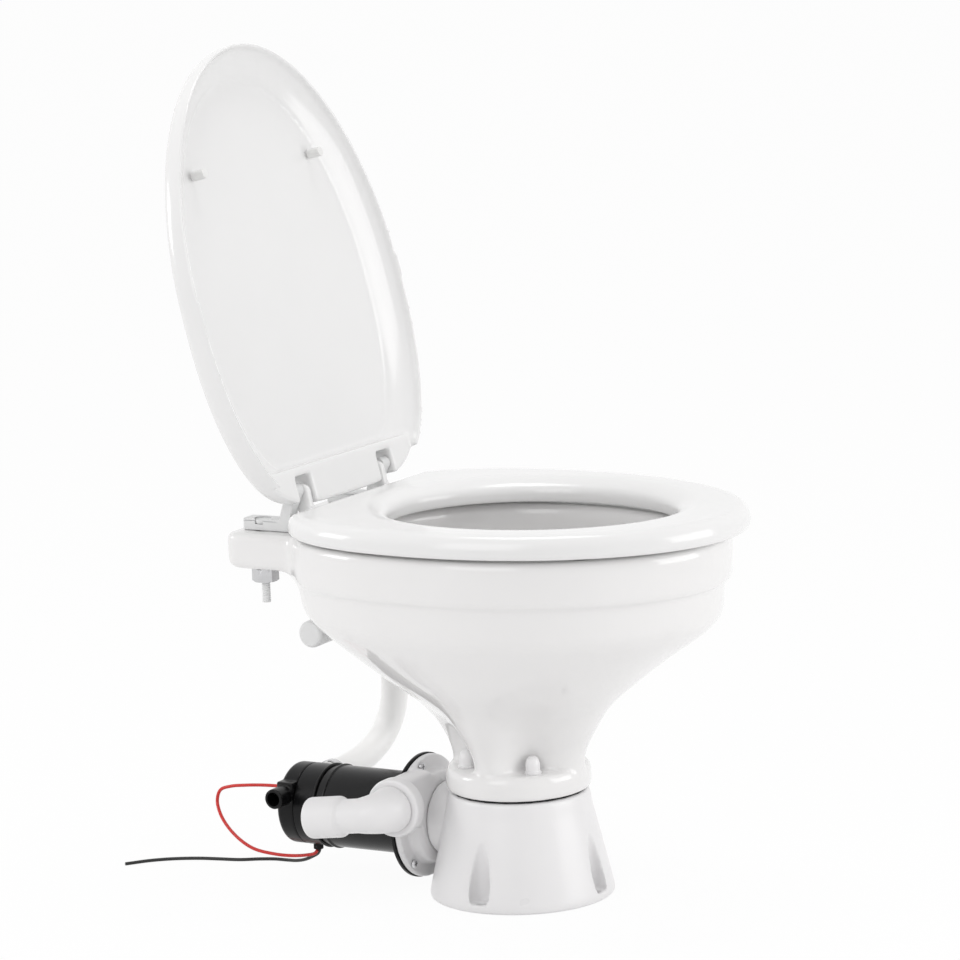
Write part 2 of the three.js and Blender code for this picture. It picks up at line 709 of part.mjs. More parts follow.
// Radial blades on a hub, bored for the shaft.
function bladed([hubRadius, bladeRadius], [from, to], blades, thickness) {
  const hub = bar("y", hubRadius, [from, to], onShaft);
  const fins = Array.from({ length: blades }, (_, i) => {
    const geometry = new THREE.BoxGeometry(bladeRadius, to - from, thickness);
    geometry.translate(bladeRadius / 2, 0, 0);
    geometry.rotateY((TURN * i) / blades);
    geometry.translate(0, (from + to) / 2, SHAFT_Z);
    return toSolid(geometry);
  });
  const bore = bar("y", SHAFT_RADIUS + GAP, [from - 1, to + 1], onShaft, SMALL);
  return cut(join(hub, ...fins), bore);
}

function rotor() {
  const shaftFront = 74;
  add("cutter", bladed([8, 18], [75, 78.5], 2, 7), "stainless");
  add("waste_impeller", bladed([9, 33], [86, 97], 4, 4), "blackPlastic");
  const shaft = bar("y", SHAFT_RADIUS, [shaftFront, HEAD_REAR - 5.5], onShaft, ROUND);
  add("motor_shaft", shaft, "stainless");
  const slots = Array.from({ length: 8 }, (_, i) => {
    const angle = (TURN * i) / 8;
    return bar("y", 4, [120, 161], [22 * Math.cos(angle), SHAFT_Z + 22 * Math.sin(angle)], 8);
  });
  const bore = bar("y", SHAFT_RADIUS + GAP, [120, 161], onShaft, SMALL);
  add("armature", cut(bar("y", 23, [123, 158], onShaft, SMOOTH), ...slots, bore), "laminations");
  const commutator = turned([
    [SHAFT_RADIUS + GAP, 162],
    [13, 162],
    [13, 164],
    [11, 165],
    [11, 180],
    [SHAFT_RADIUS + GAP, 180],
  ], "y", [0, 0, SHAFT_Z]);
  add("commutator", commutator, "copper");
  add("pump_impeller", bladed([9, 19], [222.5, 234], 6, 2.4), "rubber");
}

// Motor

function motor() {
  const flange = cut(
    turned([
      [0, HOUSING_REAR + GAP],
      [FLANGE_RADIUS + 0.8, HOUSING_REAR + GAP],
      [FLANGE_RADIUS + 0.8, MOTOR_FLANGE_REAR - 1],
      [FLANGE_RADIUS - 0.4, MOTOR_FLANGE_REAR],
      [28, MOTOR_FLANGE_REAR],
      [28, MOTOR_BOSS_REAR],
      [0, MOTOR_BOSS_REAR],
    ], "y", [0, 0, SHAFT_Z], LARGE),
    bar("y", 10.3, [HOUSING_REAR, 108], onShaft),
    bar("y", 9.3, [107, MOTOR_BOSS_REAR + 1], onShaft),
    ...screwPlaces().map((at) => bar("y", 2.8, [HOUSING_REAR, MOTOR_FLANGE_REAR + 5], at, SMALL)),
  );
  add("motor_flange", flange, "blackPlastic");
  const ringAt = (inner, outer, [from, to], segments) =>
    turned([[inner, from], [outer, from], [outer, to], [inner, to]], "y", [0, 0, SHAFT_Z], segments);
  const bearingBore = SHAFT_RADIUS + GAP;
  add("shaft_seal", ringAt(bearingBore, 10, [HOUSING_REAR + GAP, 107]), "rubber");
  add("front_bearing", ringAt(bearingBore, 9, [107.6, MOTOR_BOSS_REAR]), "bronze");

  const can = turned([
    [MOTOR_RADIUS - 2, MOTOR_FLANGE_REAR + GAP],
    [MOTOR_RADIUS, MOTOR_FLANGE_REAR + GAP],
    [MOTOR_RADIUS, CAN_REAR - 9.5],
    [MOTOR_RADIUS + 1.5, CAN_REAR - 9],
    [MOTOR_RADIUS + 1.5, CAN_REAR - 7.5],
    [MOTOR_RADIUS - 0.6, CAN_REAR - 7],
    [MOTOR_RADIUS - 0.6, CAN_REAR],
    [MOTOR_RADIUS - 2, CAN_REAR],
  ], "y", [0, 0, SHAFT_Z], LARGE);
  add("motor_can", can, "blackPaint");
  sides.forEach(([side, sign]) => {
    const arc = common(
      ringAt(25, MOTOR_RADIUS - 3, [118, 160], SMOOTH),
      box(mirrored([14, 60], sign), [110, 170], [0, 130]),
    );
    add(`magnet_${side}`, arc, "ferrite");
  });
  [["upper", 1], ["lower", -1]].forEach(([place, sign]) => {
    const range = [SHAFT_Z + sign * 11.3, SHAFT_Z + sign * 24].sort((a, b) => a - b);
    add(`brush_${place}`, box([-3.5, 3.5], [168, 177], range), "carbon");
  });
}

function endBell() {
  const bell = cut(
    turned([
      [0, CAN_REAR + GAP],
      [MOTOR_RADIUS, CAN_REAR + GAP],
      [MOTOR_RADIUS + 1.5, CAN_REAR + 0.8],
      [MOTOR_RADIUS + 1.5, CAN_REAR + 2.3],
      [MOTOR_RADIUS, CAN_REAR + 2.8],
      [MOTOR_RADIUS, BELL_REAR],
      [0, BELL_REAR],
    ], "y", [0, 0, SHAFT_Z], LARGE),
    bar("y", 9.3, [CAN_REAR, CAN_REAR + 8], onShaft),
    bar("y", SHAFT_RADIUS + GAP, [CAN_REAR, BELL_REAR + 1], onShaft, SMALL),
    bar("z", 4.9, [GROMMET.bottom, 36], [GROMMET.x, GROMMET.y], SMALL),
    bar("y", 4, [CAN_REAR - 1, GROMMET.y], [GROMMET.x, 34], SMALL),
  );
  add("motor_end_bell", bell, "blackPlastic");
  const bearing = turned([
    [SHAFT_RADIUS + GAP, CAN_REAR + GAP],
    [9, CAN_REAR + GAP],
    [9, CAN_REAR + 7.7],
    [SHAFT_RADIUS + GAP, CAN_REAR + 7.7],
  ], "y", [0, 0, SHAFT_Z]);
  add("rear_bearing", bearing, "bronze");
}

function pumpHead() {
  const headRadius = 38;
  const body = turned([
    [0, BELL_REAR + GAP],
    [headRadius, BELL_REAR + GAP],
    [headRadius, HEAD_REAR - 5],
    [headRadius - 4, HEAD_REAR - 1],
    [headRadius - 9, HEAD_REAR],
    [0, HEAD_REAR],
  ], "y", [0, 0, SHAFT_Z], LARGE);
  const port = [PORT.y, PORT.z];
  const ports = sides.flatMap(([, sign]) => [
    bar("x", PORT.radius, mirrored([20, PORT.tip], sign), port, SMOOTH),
    box(mirrored([15, 37], sign), [BELL_REAR + GAP, HEAD_REAR - 2], [SHAFT_Z + 3, 90]),
  ]);
  const chamber = bar("y", 24, [BELL_REAR, HEAD_REAR - 4.5], onShaft, SMOOTH);
  const bore = bar("x", PORT.bore, [-PORT.tip - 1, PORT.tip + 1], port);
  add("pump_head", cut(join(body, ...ports), chamber, bore), "blackPlastic");
}

// Motor leads, which come out under the end bell and lie behind the toilet

const BLACK_ROUTE = [
  [-2.8, GROMMET.y, GROMMET.bottom - 0.8],
  [-2.8, 216.6, 16],
  [-1.8, 224, 11.5],
  [1, 234, 7],
  [5, 245.5, 3.8],
  [9, 258, 2],
  [8.5, 272, 1.8],
  [3, 286, 1.8],
  [-6, 302, 1.8],
  [-11, 322, 1.8],
  [-16, 341, 1.8],
  [-26, 362, 1.8],
  [-40, 380, 1.8],
  [-60, 396, 1.8],
];
const RED_ROUTE = [
  [-7.2, GROMMET.y, GROMMET.bottom - 1.2],
  [-7.6, 217.4, 16.6],
  [-8, 227, 14],
  [-8, 243.6, 11.9],
  [-8, 261, 11.7],
  [-6, 285, 13.8],
  [-2, 303, 19.7],
  [4, 320.5, 29.5],
  [10, 332.5, 40],
  [15, 338.5, 51],
  [15, 334.5, 61.5],
  [14, 322, 66.5],
  [14, 305.5, 69],
  [14, 286.5, 70.8],
  [14, 268, 71.6],
  [14, 243.5, 72],
];

function leads() {
  const grommet = bar("z", 4.6, [GROMMET.bottom, 30], [GROMMET.x, GROMMET.y], SMALL);
  add("lead_grommet", grommet, "rubber");
  const lead = (name, route, material) =>
    add(name, tubeAlong(smoothThrough(route), LEAD_RADIUS, 8, 34), material);
  lead("lead_black", BLACK_ROUTE, "blackLead");
  lead("lead_red", RED_ROUTE, "redLead");
}

// Discharge elbow, turned about the collar's axis, and the joker valve inside it

function sweep(stations, segments) {
  return loft(stations.map(({ at, along, radius }) => {
    const up = new THREE.Vector3(0, 0, 1);
    const across = along.clone().cross(up).normalize();
    return circle(radius, segments).map(({ x, y }) =>
      at.clone().addScaledVector(across, x).addScaledVector(up, y));
  }));
}

// Stations along the elbow's centre line: out from the collar, round a quarter turn and back.
function elbowLine(radii) {
  const bendRadius = 21;
  const bendStart = COLLAR.face - GAP - 3;
  const stations = [{
    at: new THREE.Vector3(COLLAR.face - GAP, COLLAR.y, COLLAR.z),
    along: new THREE.Vector3(-1, 0, 0),
    radius: radii[0],
  }];
  const steps = 6;
  for (let i = 0; i <= steps; i += 1) {
    const angle = (Math.PI / 2) * (i / steps);
    stations.push({
      at: new THREE.Vector3(
        bendStart - bendRadius * Math.sin(angle),
        COLLAR.y + bendRadius * (1 - Math.cos(angle)),
        COLLAR.z,
      ),
      along: new THREE.Vector3(-Math.cos(angle), Math.sin(angle), 0),
      radius: THREE.MathUtils.lerp(radii[0], radii[1], i / steps),
    });
  }
  return stations;
}

function elbow() {
  const reach = 72;
  const spigotLength = 33;
  const tipY = COLLAR.y + reach;
  const outer = elbowLine([21.5, 15.7]);
  const x = outer.at(-1).at.x;
  const along = new THREE.Vector3(0, 1, 0);
  const station = (y, radius) => ({ at: new THREE.Vector3(x, y, COLLAR.z), along, radius });
  outer.push(
    station(tipY - spigotLength - 5, 15.7),
    station(tipY - spigotLength, 19),
    station(tipY - 1.5, 19),
    station(tipY, 17.5),
  );
  const inner = elbowLine([12.6, 12.6]);
  inner.push(station(tipY - spigotLength, 12.6), station(tipY - spigotLength + 3, 15), station(tipY + 1, 15));
  const spigot = bar("x", 15.3, [COLLAR.face - 2, COLLAR.socket - 3.7], [COLLAR.y, COLLAR.z], SMOOTH);
  const mouth = bar("x", 12.6, [COLLAR.face - 1, COLLAR.socket], [COLLAR.y, COLLAR.z], 20);
  const body = cut(join(sweep(outer, 20), spigot), sweep(inner, 20), mouth);
  const tilt = new THREE.Group();
  tilt.position.set(0, COLLAR.y, COLLAR.z);
  tilt.rotation.x = THREE.MathUtils.degToRad(ELBOW_TILT_DEG);
  const level = new THREE.Group();
  level.position.set(0, -COLLAR.y, -COLLAR.z);
  tilt.add(level);
  toilet.add(tilt);
  add("discharge_elbow", body, "whitePlastic", level);
}

// The joker valve is a soft one-way duckbill with its flange held between collar and elbow.
function jokerValve() {
  const axis = [COLLAR.y, COLLAR.z];
  const flange = bar("x", 15.3, [COLLAR.socket - 3.4, COLLAR.socket - GAP], axis);
  const section = (x, wide, tall) => Array.from({ length: ROUND }, (_, i) => new THREE.Vector3(
    x,
    COLLAR.y + wide * Math.cos((TURN * i) / ROUND),
    COLLAR.z + tall * Math.sin((TURN * i) / ROUND),
  ));
  const bill = loft([section(-62, 11, 11), section(-70, 10.5, 8), section(-79, 10.5, 2.2)]);
  const bore = loft([section(-60, 9, 9), section(-64, 9, 9), section(-70, 9, 6.4), section(-80, 8.6, 0.6)]);
  add("joker_valve", cut(join(flange, bill), bore), "rubber");
}

base();
bowlGasket();
bowl();
bowlFixings();
hinges();
seat();
lid();
inlet();
flushHose();
maceratorHousing();
rotor();
motor();
endBell();
pumpHead();
leads();
elbow();
jokerValve();

export default toilet;
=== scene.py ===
import json
import math

import bmesh
import bpy
import numpy as np
from mathutils import Matrix, Vector


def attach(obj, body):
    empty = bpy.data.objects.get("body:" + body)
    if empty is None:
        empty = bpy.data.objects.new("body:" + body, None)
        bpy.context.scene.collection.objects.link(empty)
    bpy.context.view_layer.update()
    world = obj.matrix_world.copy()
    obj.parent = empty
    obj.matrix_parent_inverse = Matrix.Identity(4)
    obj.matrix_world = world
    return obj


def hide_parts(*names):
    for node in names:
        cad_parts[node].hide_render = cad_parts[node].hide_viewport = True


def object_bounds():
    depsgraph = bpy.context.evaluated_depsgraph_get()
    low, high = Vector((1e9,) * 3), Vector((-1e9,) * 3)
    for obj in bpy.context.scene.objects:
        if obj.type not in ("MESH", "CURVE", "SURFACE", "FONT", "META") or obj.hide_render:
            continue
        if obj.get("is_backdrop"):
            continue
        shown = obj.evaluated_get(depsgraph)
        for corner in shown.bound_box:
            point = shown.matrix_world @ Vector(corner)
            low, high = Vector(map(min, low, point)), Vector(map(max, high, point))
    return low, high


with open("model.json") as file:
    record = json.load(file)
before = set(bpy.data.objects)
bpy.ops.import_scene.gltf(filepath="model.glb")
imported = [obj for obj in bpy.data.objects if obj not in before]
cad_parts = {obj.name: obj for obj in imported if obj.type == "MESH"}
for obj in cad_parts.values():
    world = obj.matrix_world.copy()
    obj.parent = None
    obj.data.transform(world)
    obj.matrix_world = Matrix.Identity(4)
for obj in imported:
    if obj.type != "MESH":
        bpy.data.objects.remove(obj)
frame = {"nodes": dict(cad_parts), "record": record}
cad_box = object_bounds()

SLOT_OF = {part["node"]: part["material_slot"] for part in frame["record"]["subparts"]}
BODY_OF = {
    node: body
    for body, nodes in frame["record"]["behaviour"]["bodies"].items()
    for node in nodes
}

# Shapes are written in millimetres, and become metres in new_piece
MM = 0.001
TURN = 2 * math.pi

# The toilet's driving sizes
BASE_TOP = 97
BASE_FOOT_RADIUS = 84
BASE_TOP_RADIUS = 64.5
OUTLET_RADIUS = 22
BOWL_FOOT = 99
FLANGE_TOP = 121.5
RIM_TOP = 336
DECK_UNDERSIDE = 302
DECK_HALF = 100
DECK_REAR = 243
SEAT_UNDERSIDE = 340
SEAT_TOP = 362
BOWL_BOLTS = [(x * 34.3, y * 34.3) for y in (-1, 1) for x in (-1, 1)]
FLOOR_BOLT_CIRCLE = 75
FLOOR_BOLT_HOLE_RADIUS = 4.5
FOOT_THICKNESS = 8
SEAT = {"half": 172, "front": 226, "rear": 200, "power": 2.45, "cut": 180}
SEAT_OPENING = {"half": 115, "front": 138, "rear": 131, "power": 2, "centre": -20}
RIM_OPENING = {"half": 124, "front": 176, "rear": 128, "power": 2.2}
LID = {"half": 171.5, "front": 227.5, "rear": 217, "power": 2.45, "cut": 196}
LID_RIM = 356
LID_FLOOR = 378
LID_OPEN = math.radians(104.85)
HINGE_X = 75
HINGE_BOLT_Y = 214
HINGE_BOLT_HOLE_RADIUS = 4.6
PIVOT_Y = 178.3
PIVOT_Z = 373.7
SHAFT_Z = 63
FLANGE_RADIUS = 57
HOUSING_FRONT = 80.3
HOUSING_FLANGE = 94
HOUSING_REAR = 100.5
MOTOR_RADIUS = 38
MOTOR_FLANGE_REAR = 104.5
CAN_REAR = 197
BELL_REAR = 220
HEAD_REAR = 240
SCREW_CIRCLE = 51.2
SCREW_DEGREES = (107, 227, 347)
COLLAR_Y = 92
COLLAR_Z = 86
COLLAR_FACE = -72
COLLAR_RADIUS = 27
ELBOW_TILT = math.radians(-7.5)
PORT_Y = 230.2
PORT_Z = 78
PORT_TIP = 55
INLET_Y = 184.5
INLET_Z = 236
CAP_FACE = -39

# The middle of the foot, and the axes that several pieces share
FOOT = (0, 0, 0)
SHAFT = (0, 0, SHAFT_Z)
PIVOT = (0, PIVOT_Y, PIVOT_Z)
COLLAR = (0, COLLAR_Y, COLLAR_Z)
INLET = (0, INLET_Y, INLET_Z)
PORTS = (0, PORT_Y, PORT_Z)
SIDES = (("left", -1), ("right", 1))


# Making meshes


def new_piece(name, points, faces):
    """An object of these points and faces, with its faces turned outwards."""
    mesh = bpy.data.meshes.new(name)
    mesh.from_pydata([Vector(point) * MM for point in points], [], faces)
    shape = bmesh.new()
    shape.from_mesh(mesh)
    bmesh.ops.recalc_face_normals(shape, faces=shape.faces)
    shape.to_mesh(mesh)
    shape.free()
    piece = bpy.data.objects.new(name, mesh)
    bpy.context.scene.collection.objects.link(piece)
    return piece


def loft(name, rings, closed=False):
    """A skin through rings of points, capped at both ends or closed on itself."""
    count = len(rings[0])
    points = [point for ring in rings for point in ring]
    faces = []
    for first in range(len(rings) if closed else len(rings) - 1):
        second = (first + 1) % len(rings)
        for i in range(count):
            j = (i + 1) % count
            faces.append((first * count + i, first * count + j, second * count + j, second * count + i))
    if not closed:
        faces.append(tuple(range(count)))
        faces.append(tuple((len(rings) - 1) * count + i for i in range(count)))
    return new_piece(name, points, faces)


def fillet(profile, radius, steps=5):
    """The same outline with its inner corners rounded."""
    rounded = [profile[0]]
    for before, corner, after in zip(profile, profile[1:], profile[2:]):
        corner = Vector(corner)
        towards = Vector(before) - corner
        away = Vector(after) - corner
        reach = min(radius, towards.length * 0.45, away.length * 0.45)
        start = corner + towards.normalized() * reach
        end = corner + away.normalized() * reach
        for i in range(steps + 1):
            t = i / steps
            point = start * (1 - t) ** 2 + corner * 2 * t * (1 - t) + end * t**2
            rounded.append(tuple(point))
    rounded.append(profile[-1])
    return rounded


def placed(axis, centre, radius, along, angle):
    """A point at a radius and angle about an axis through a centre."""
    x, y, z = centre
    a = radius * math.cos(angle)
    b = radius * math.sin(angle)
    if axis == "x":
        return (x + along, y + a, z + b)
    if axis == "y":
        return (x + a, y + along, z + b)
    return (x + a, y + b, z + along)


def turned(name, profile, axis, centre, segments=96, rounding=0):
    """A profile of (radius, distance) turned about an axis; one that doesn't start on it closes on itself."""
    if rounding:
        profile = fillet(profile, rounding)
    tip = 0.01
    rings = [
        [placed(axis, centre, max(r, tip), h, TURN * i / segments) for i in range(segments)]
        for r, h in profile
    ]
    return loft(name, rings, closed=profile[0][0] > 0)


def bar(name, axis, radius, span, centre, segments=64, edge=0):
    """A round bar along an axis, over a span that is counted from its centre."""
    start, end = span
    profile = [(0, start), (radius, start), (radius, end), (0, end)]
    return turned(name, profile, axis, centre, segments, edge)


def rounded_box(name, xs, ys, zs, corner=3, edge=1.5, steps=5):
    """A box with rounded upright corners and softened top and bottom edges."""
    centre = Vector(((xs[0] + xs[1]) / 2, (ys[0] + ys[1]) / 2))
    half = Vector(((xs[1] - xs[0]) / 2, (ys[1] - ys[0]) / 2))

    def ring(z, inset):
        points = []
        radius = max(corner - inset, 0.2)
        for quarter, (sx, sy) in enumerate(((1, 1), (-1, 1), (-1, -1), (1, -1))):
            for i in range(steps + 1):
                angle = (quarter + i / steps) * math.pi / 2
                x = centre.x + sx * (half.x - corner) + radius * math.cos(angle)
                y = centre.y + sy * (half.y - corner) + radius * math.sin(angle)
                points.append((x, y, z))
        return points

    lower = [ring(zs[0] + edge * (1 - math.sin(a)), edge * (1 - math.cos(a))) for a in quarter_turn(steps)]
    upper = [ring(zs[1] - edge * (1 - math.sin(a)), edge * (1 - math.cos(a))) for a in quarter_turn(steps)]
    return loft(name, lower[::-1] + upper)


def quarter_turn(steps):
    return [i / steps * math.pi / 2 for i in range(steps + 1)]


def outline(z, shape, inset=0, count=160):
    """A toilet outline seen from above, drawn in by an inset.

    It is round at the front and squarer behind, as power says, and cut gives it a straight rear edge.
    """
    centre = shape.get("centre", 0)
    corner_power = 18
    points = []
    for i in range(count):
        angle = TURN * i / count
        c, s = math.cos(angle), math.sin(angle)
        behind = s > 0
        power = shape["power"] if behind else 2
        length = (shape["rear"] if behind else shape["front"]) - inset
        half = shape["half"] - inset
        reach = (abs(c / half) ** power + abs(s / length) ** power) ** (-1 / power)
        if "cut" in shape and s > 0.05:
            limit = (shape["cut"] - centre - inset) / s
            reach = (reach**-corner_power + limit**-corner_power) ** (-1 / corner_power)
        points.append((reach * c, centre + reach * s, z))
    return points


def spline(rows, steps=6):
    """Rows of numbers joined by a smooth centripetal curve."""
    rows = np.array(rows, float)
    padded = np.vstack([2 * rows[0] - rows[1], rows, 2 * rows[-1] - rows[-2]])
    gaps = np.sqrt(np.linalg.norm(np.diff(padded, axis=0), axis=1))
    knots = np.concatenate([[0], np.cumsum(gaps)])
    smooth = []
    for i in range(1, len(rows)):
        t0, t1, t2, t3 = knots[i - 1 : i + 3]
        p0, p1, p2, p3 = padded[i - 1 : i + 3]
        for t in np.linspace(t1, t2, steps, endpoint=False):
            a1 = (t1 - t) / (t1 - t0) * p0 + (t - t0) / (t1 - t0) * p1
            a2 = (t2 - t) / (t2 - t1) * p1 + (t - t1) / (t2 - t1) * p2
            a3 = (t3 - t) / (t3 - t2) * p2 + (t - t2) / (t3 - t2) * p3
            b1 = (t2 - t) / (t2 - t0) * a1 + (t - t0) / (t2 - t0) * a2
            b2 = (t3 - t) / (t3 - t1) * a2 + (t - t1) / (t3 - t1) * a3
            smooth.append((t2 - t) / (t2 - t1) * b1 + (t - t1) / (t2 - t1) * b2)
    smooth.append(rows[-1])
    return smooth


def stack(name, shape, levels, steps=4):
    """One outline stacked through levels of (height, inset)."""
    return loft(name, [outline(z, shape, inset) for z, inset in spline(levels, steps)])


def apply_modifiers(piece):
    bpy.context.view_layer.update()
    graph = bpy.context.evaluated_depsgraph_get()
    mesh = bpy.data.meshes.new_from_object(piece.evaluated_get(graph))
    piece.modifiers.clear()
    piece.data = mesh


def combine(piece, operation, others):
    """Joins other shapes to a piece, cuts them from it or keeps what they share, and removes them."""
    for other in others:
        modifier = piece.modifiers.new(operation, "BOOLEAN")
        modifier.operation = operation
        modifier.solver = "MANIFOLD"
        modifier.object = other
    apply_modifiers(piece)
    for other in others:
        bpy.data.objects.remove(other)


def join(piece, *others):
    combine(piece, "UNION", others)


def cut(piece, *others):
    combine(piece, "DIFFERENCE", others)


def relax(piece, passes, weight=None):
    """Rounds a fine mesh off by moving each point towards its neighbours, all over or where weight says."""
    mesh = piece.data
    count = len(mesh.vertices)
    points = np.empty(count * 3)
    mesh.vertices.foreach_get("co", points)
    points = points.reshape(-1, 3)
    pairs = np.empty(len(mesh.edges) * 2, int)
    mesh.edges.foreach_get("vertices", pairs)
    first, second = pairs.reshape(-1, 2).T
    neighbours = np.bincount(first, minlength=count) + np.bincount(second, minlength=count)
    share = 0.5 * (np.ones(count) if weight is None else weight(points / MM))
    for _ in range(passes):
        for axis in range(3):
            column = points[:, axis]
            total = np.bincount(first, column[second], count) + np.bincount(second, column[first], count)
            points[:, axis] = column + share * (total / neighbours - column)
    mesh.vertices.foreach_set("co", points.ravel())
    mesh.update()


def cast(piece, voxel, passes):
    """One even skin over joined shapes, with every edge and inner corner softened as in a mould."""
    modifier = piece.modifiers.new("remesh", "REMESH")
    modifier.mode = "VOXEL"
    modifier.voxel_size = voxel * MM
    apply_modifiers(piece)
    relax(piece, passes)


def swept(name, centres, radii, sides=48, closed=False):
    """A round tube through centres, with a radius for each; closed for one that turns back inside itself."""
    centres = [Vector(centre) for centre in centres]
    across = None
    rings = []
    for i, centre in enumerate(centres):
        ahead = centres[min(i + 1, len(centres) - 1)]
        behind = centres[max(i - 1, 0)]
        along = (ahead - behind).normalized()
        if across is None:
            across = along.orthogonal().normalized()
        across = (across - along * across.dot(along)).normalized()
        other = along.cross(across)
        ring = []
        for k in range(sides):
            angle = TURN * k / sides
            ring.append(centre + radii[i] * (math.cos(angle) * across + math.sin(angle) * other))
        rings.append(ring)
    return loft(name, rings, closed)


def rotate_about_x(piece, angle, centre):
    """Turns a piece about the axis along X through a centre."""
    pivot = Matrix.Translation(Vector(centre) * MM)
    piece.data.transform(pivot @ Matrix.Rotation(angle, 4, "X") @ pivot.inverted())


def mirrored(span, sign):
    """A span along X on the side that sign gives."""
    return span if sign > 0 else (-span[1], -span[0])


def slab(name, side_view, span):
    """An outline of (y, z) carried across a span of X."""
    return loft(name, [[(x, y, z) for y, z in side_view] for x in span])


# Materials


def link(tree, source, target):
    tree.links.new(source, target)


def noise(tree, where, scale, detail=3.0):
    node = tree.nodes.new("ShaderNodeTexNoise")
    node.inputs["Scale"].default_value = scale
    node.inputs["Detail"].default_value = detail
    link(tree, where, node.inputs["Vector"])
    return node.outputs["Fac"]


def ranged(tree, value, low, high):
    """A noise value, which seldom leaves 0.2 to 0.8, spread from low to high."""
    node = tree.nodes.new("ShaderNodeMapRange")
    node.inputs["From Min"].default_value = 0.2
    node.inputs["From Max"].default_value = 0.8
    node.inputs["To Min"].default_value = low
    node.inputs["To Max"].default_value = high
    link(tree, value, node.inputs["Value"])
    return node.outputs["Result"]


def bump(tree, height, distance, below=None):
    node = tree.nodes.new("ShaderNodeBump")
    node.inputs["Strength"].default_value = 1.0
    node.inputs["Distance"].default_value = distance
    link(tree, height, node.inputs["Height"])
    if below is not None:
        link(tree, below, node.inputs["Normal"])
    return node.outputs["Normal"]


def shade(colour, share):
    return [min(1, channel * share) for channel in colour] + [1]


def surface(
    name,
    colour,
    roughness,
    metallic=0.0,
    coat=0.0,
    specular=0.5,
    mottle=0.02,
    wave=(9.0, 0.0),
    grain=(900.0, 0.0),
    stretch=(1.0, 1.0, 1.0),
):
    """A material with slight variation; wave and grain are reliefs of (scale, depth in metres)."""
    mottle_scale = 14.0
    gloss_scale = 40.0
    material = bpy.data.materials.new(name)
    material.use_nodes = True
    tree = material.node_tree
    shader = tree.nodes["Principled BSDF"]
    shader.inputs["Metallic"].default_value = metallic
    shader.inputs["Specular IOR Level"].default_value = specular
    shader.inputs["Coat Weight"].default_value = coat
    shader.inputs["Coat Roughness"].default_value = 0.05
    where = tree.nodes.new("ShaderNodeTexCoord")
    mapping = tree.nodes.new("ShaderNodeMapping")
    mapping.inputs["Scale"].default_value = stretch
    link(tree, where.outputs["Object"], mapping.inputs["Vector"])
    place = mapping.outputs["Vector"]

    mix = tree.nodes.new("ShaderNodeMix")
    mix.data_type = "RGBA"
    mix.inputs["A"].default_value = shade(colour, 1 - mottle)
    mix.inputs["B"].default_value = shade(colour, 1 + mottle)
    link(tree, ranged(tree, noise(tree, place, mottle_scale), 0, 1), mix.inputs["Factor"])
    link(tree, mix.outputs["Result"], shader.inputs["Base Color"])

    spread = roughness * 0.1
    gloss = ranged(tree, noise(tree, place, gloss_scale, 2.0), roughness - spread, roughness + spread)
    link(tree, gloss, shader.inputs["Roughness"])
    coarse = bump(tree, noise(tree, place, wave[0], 1.0), wave[1])
    link(tree, bump(tree, noise(tree, place, grain[0], 2.0), grain[1], coarse), shader.inputs["Normal"])
    return material


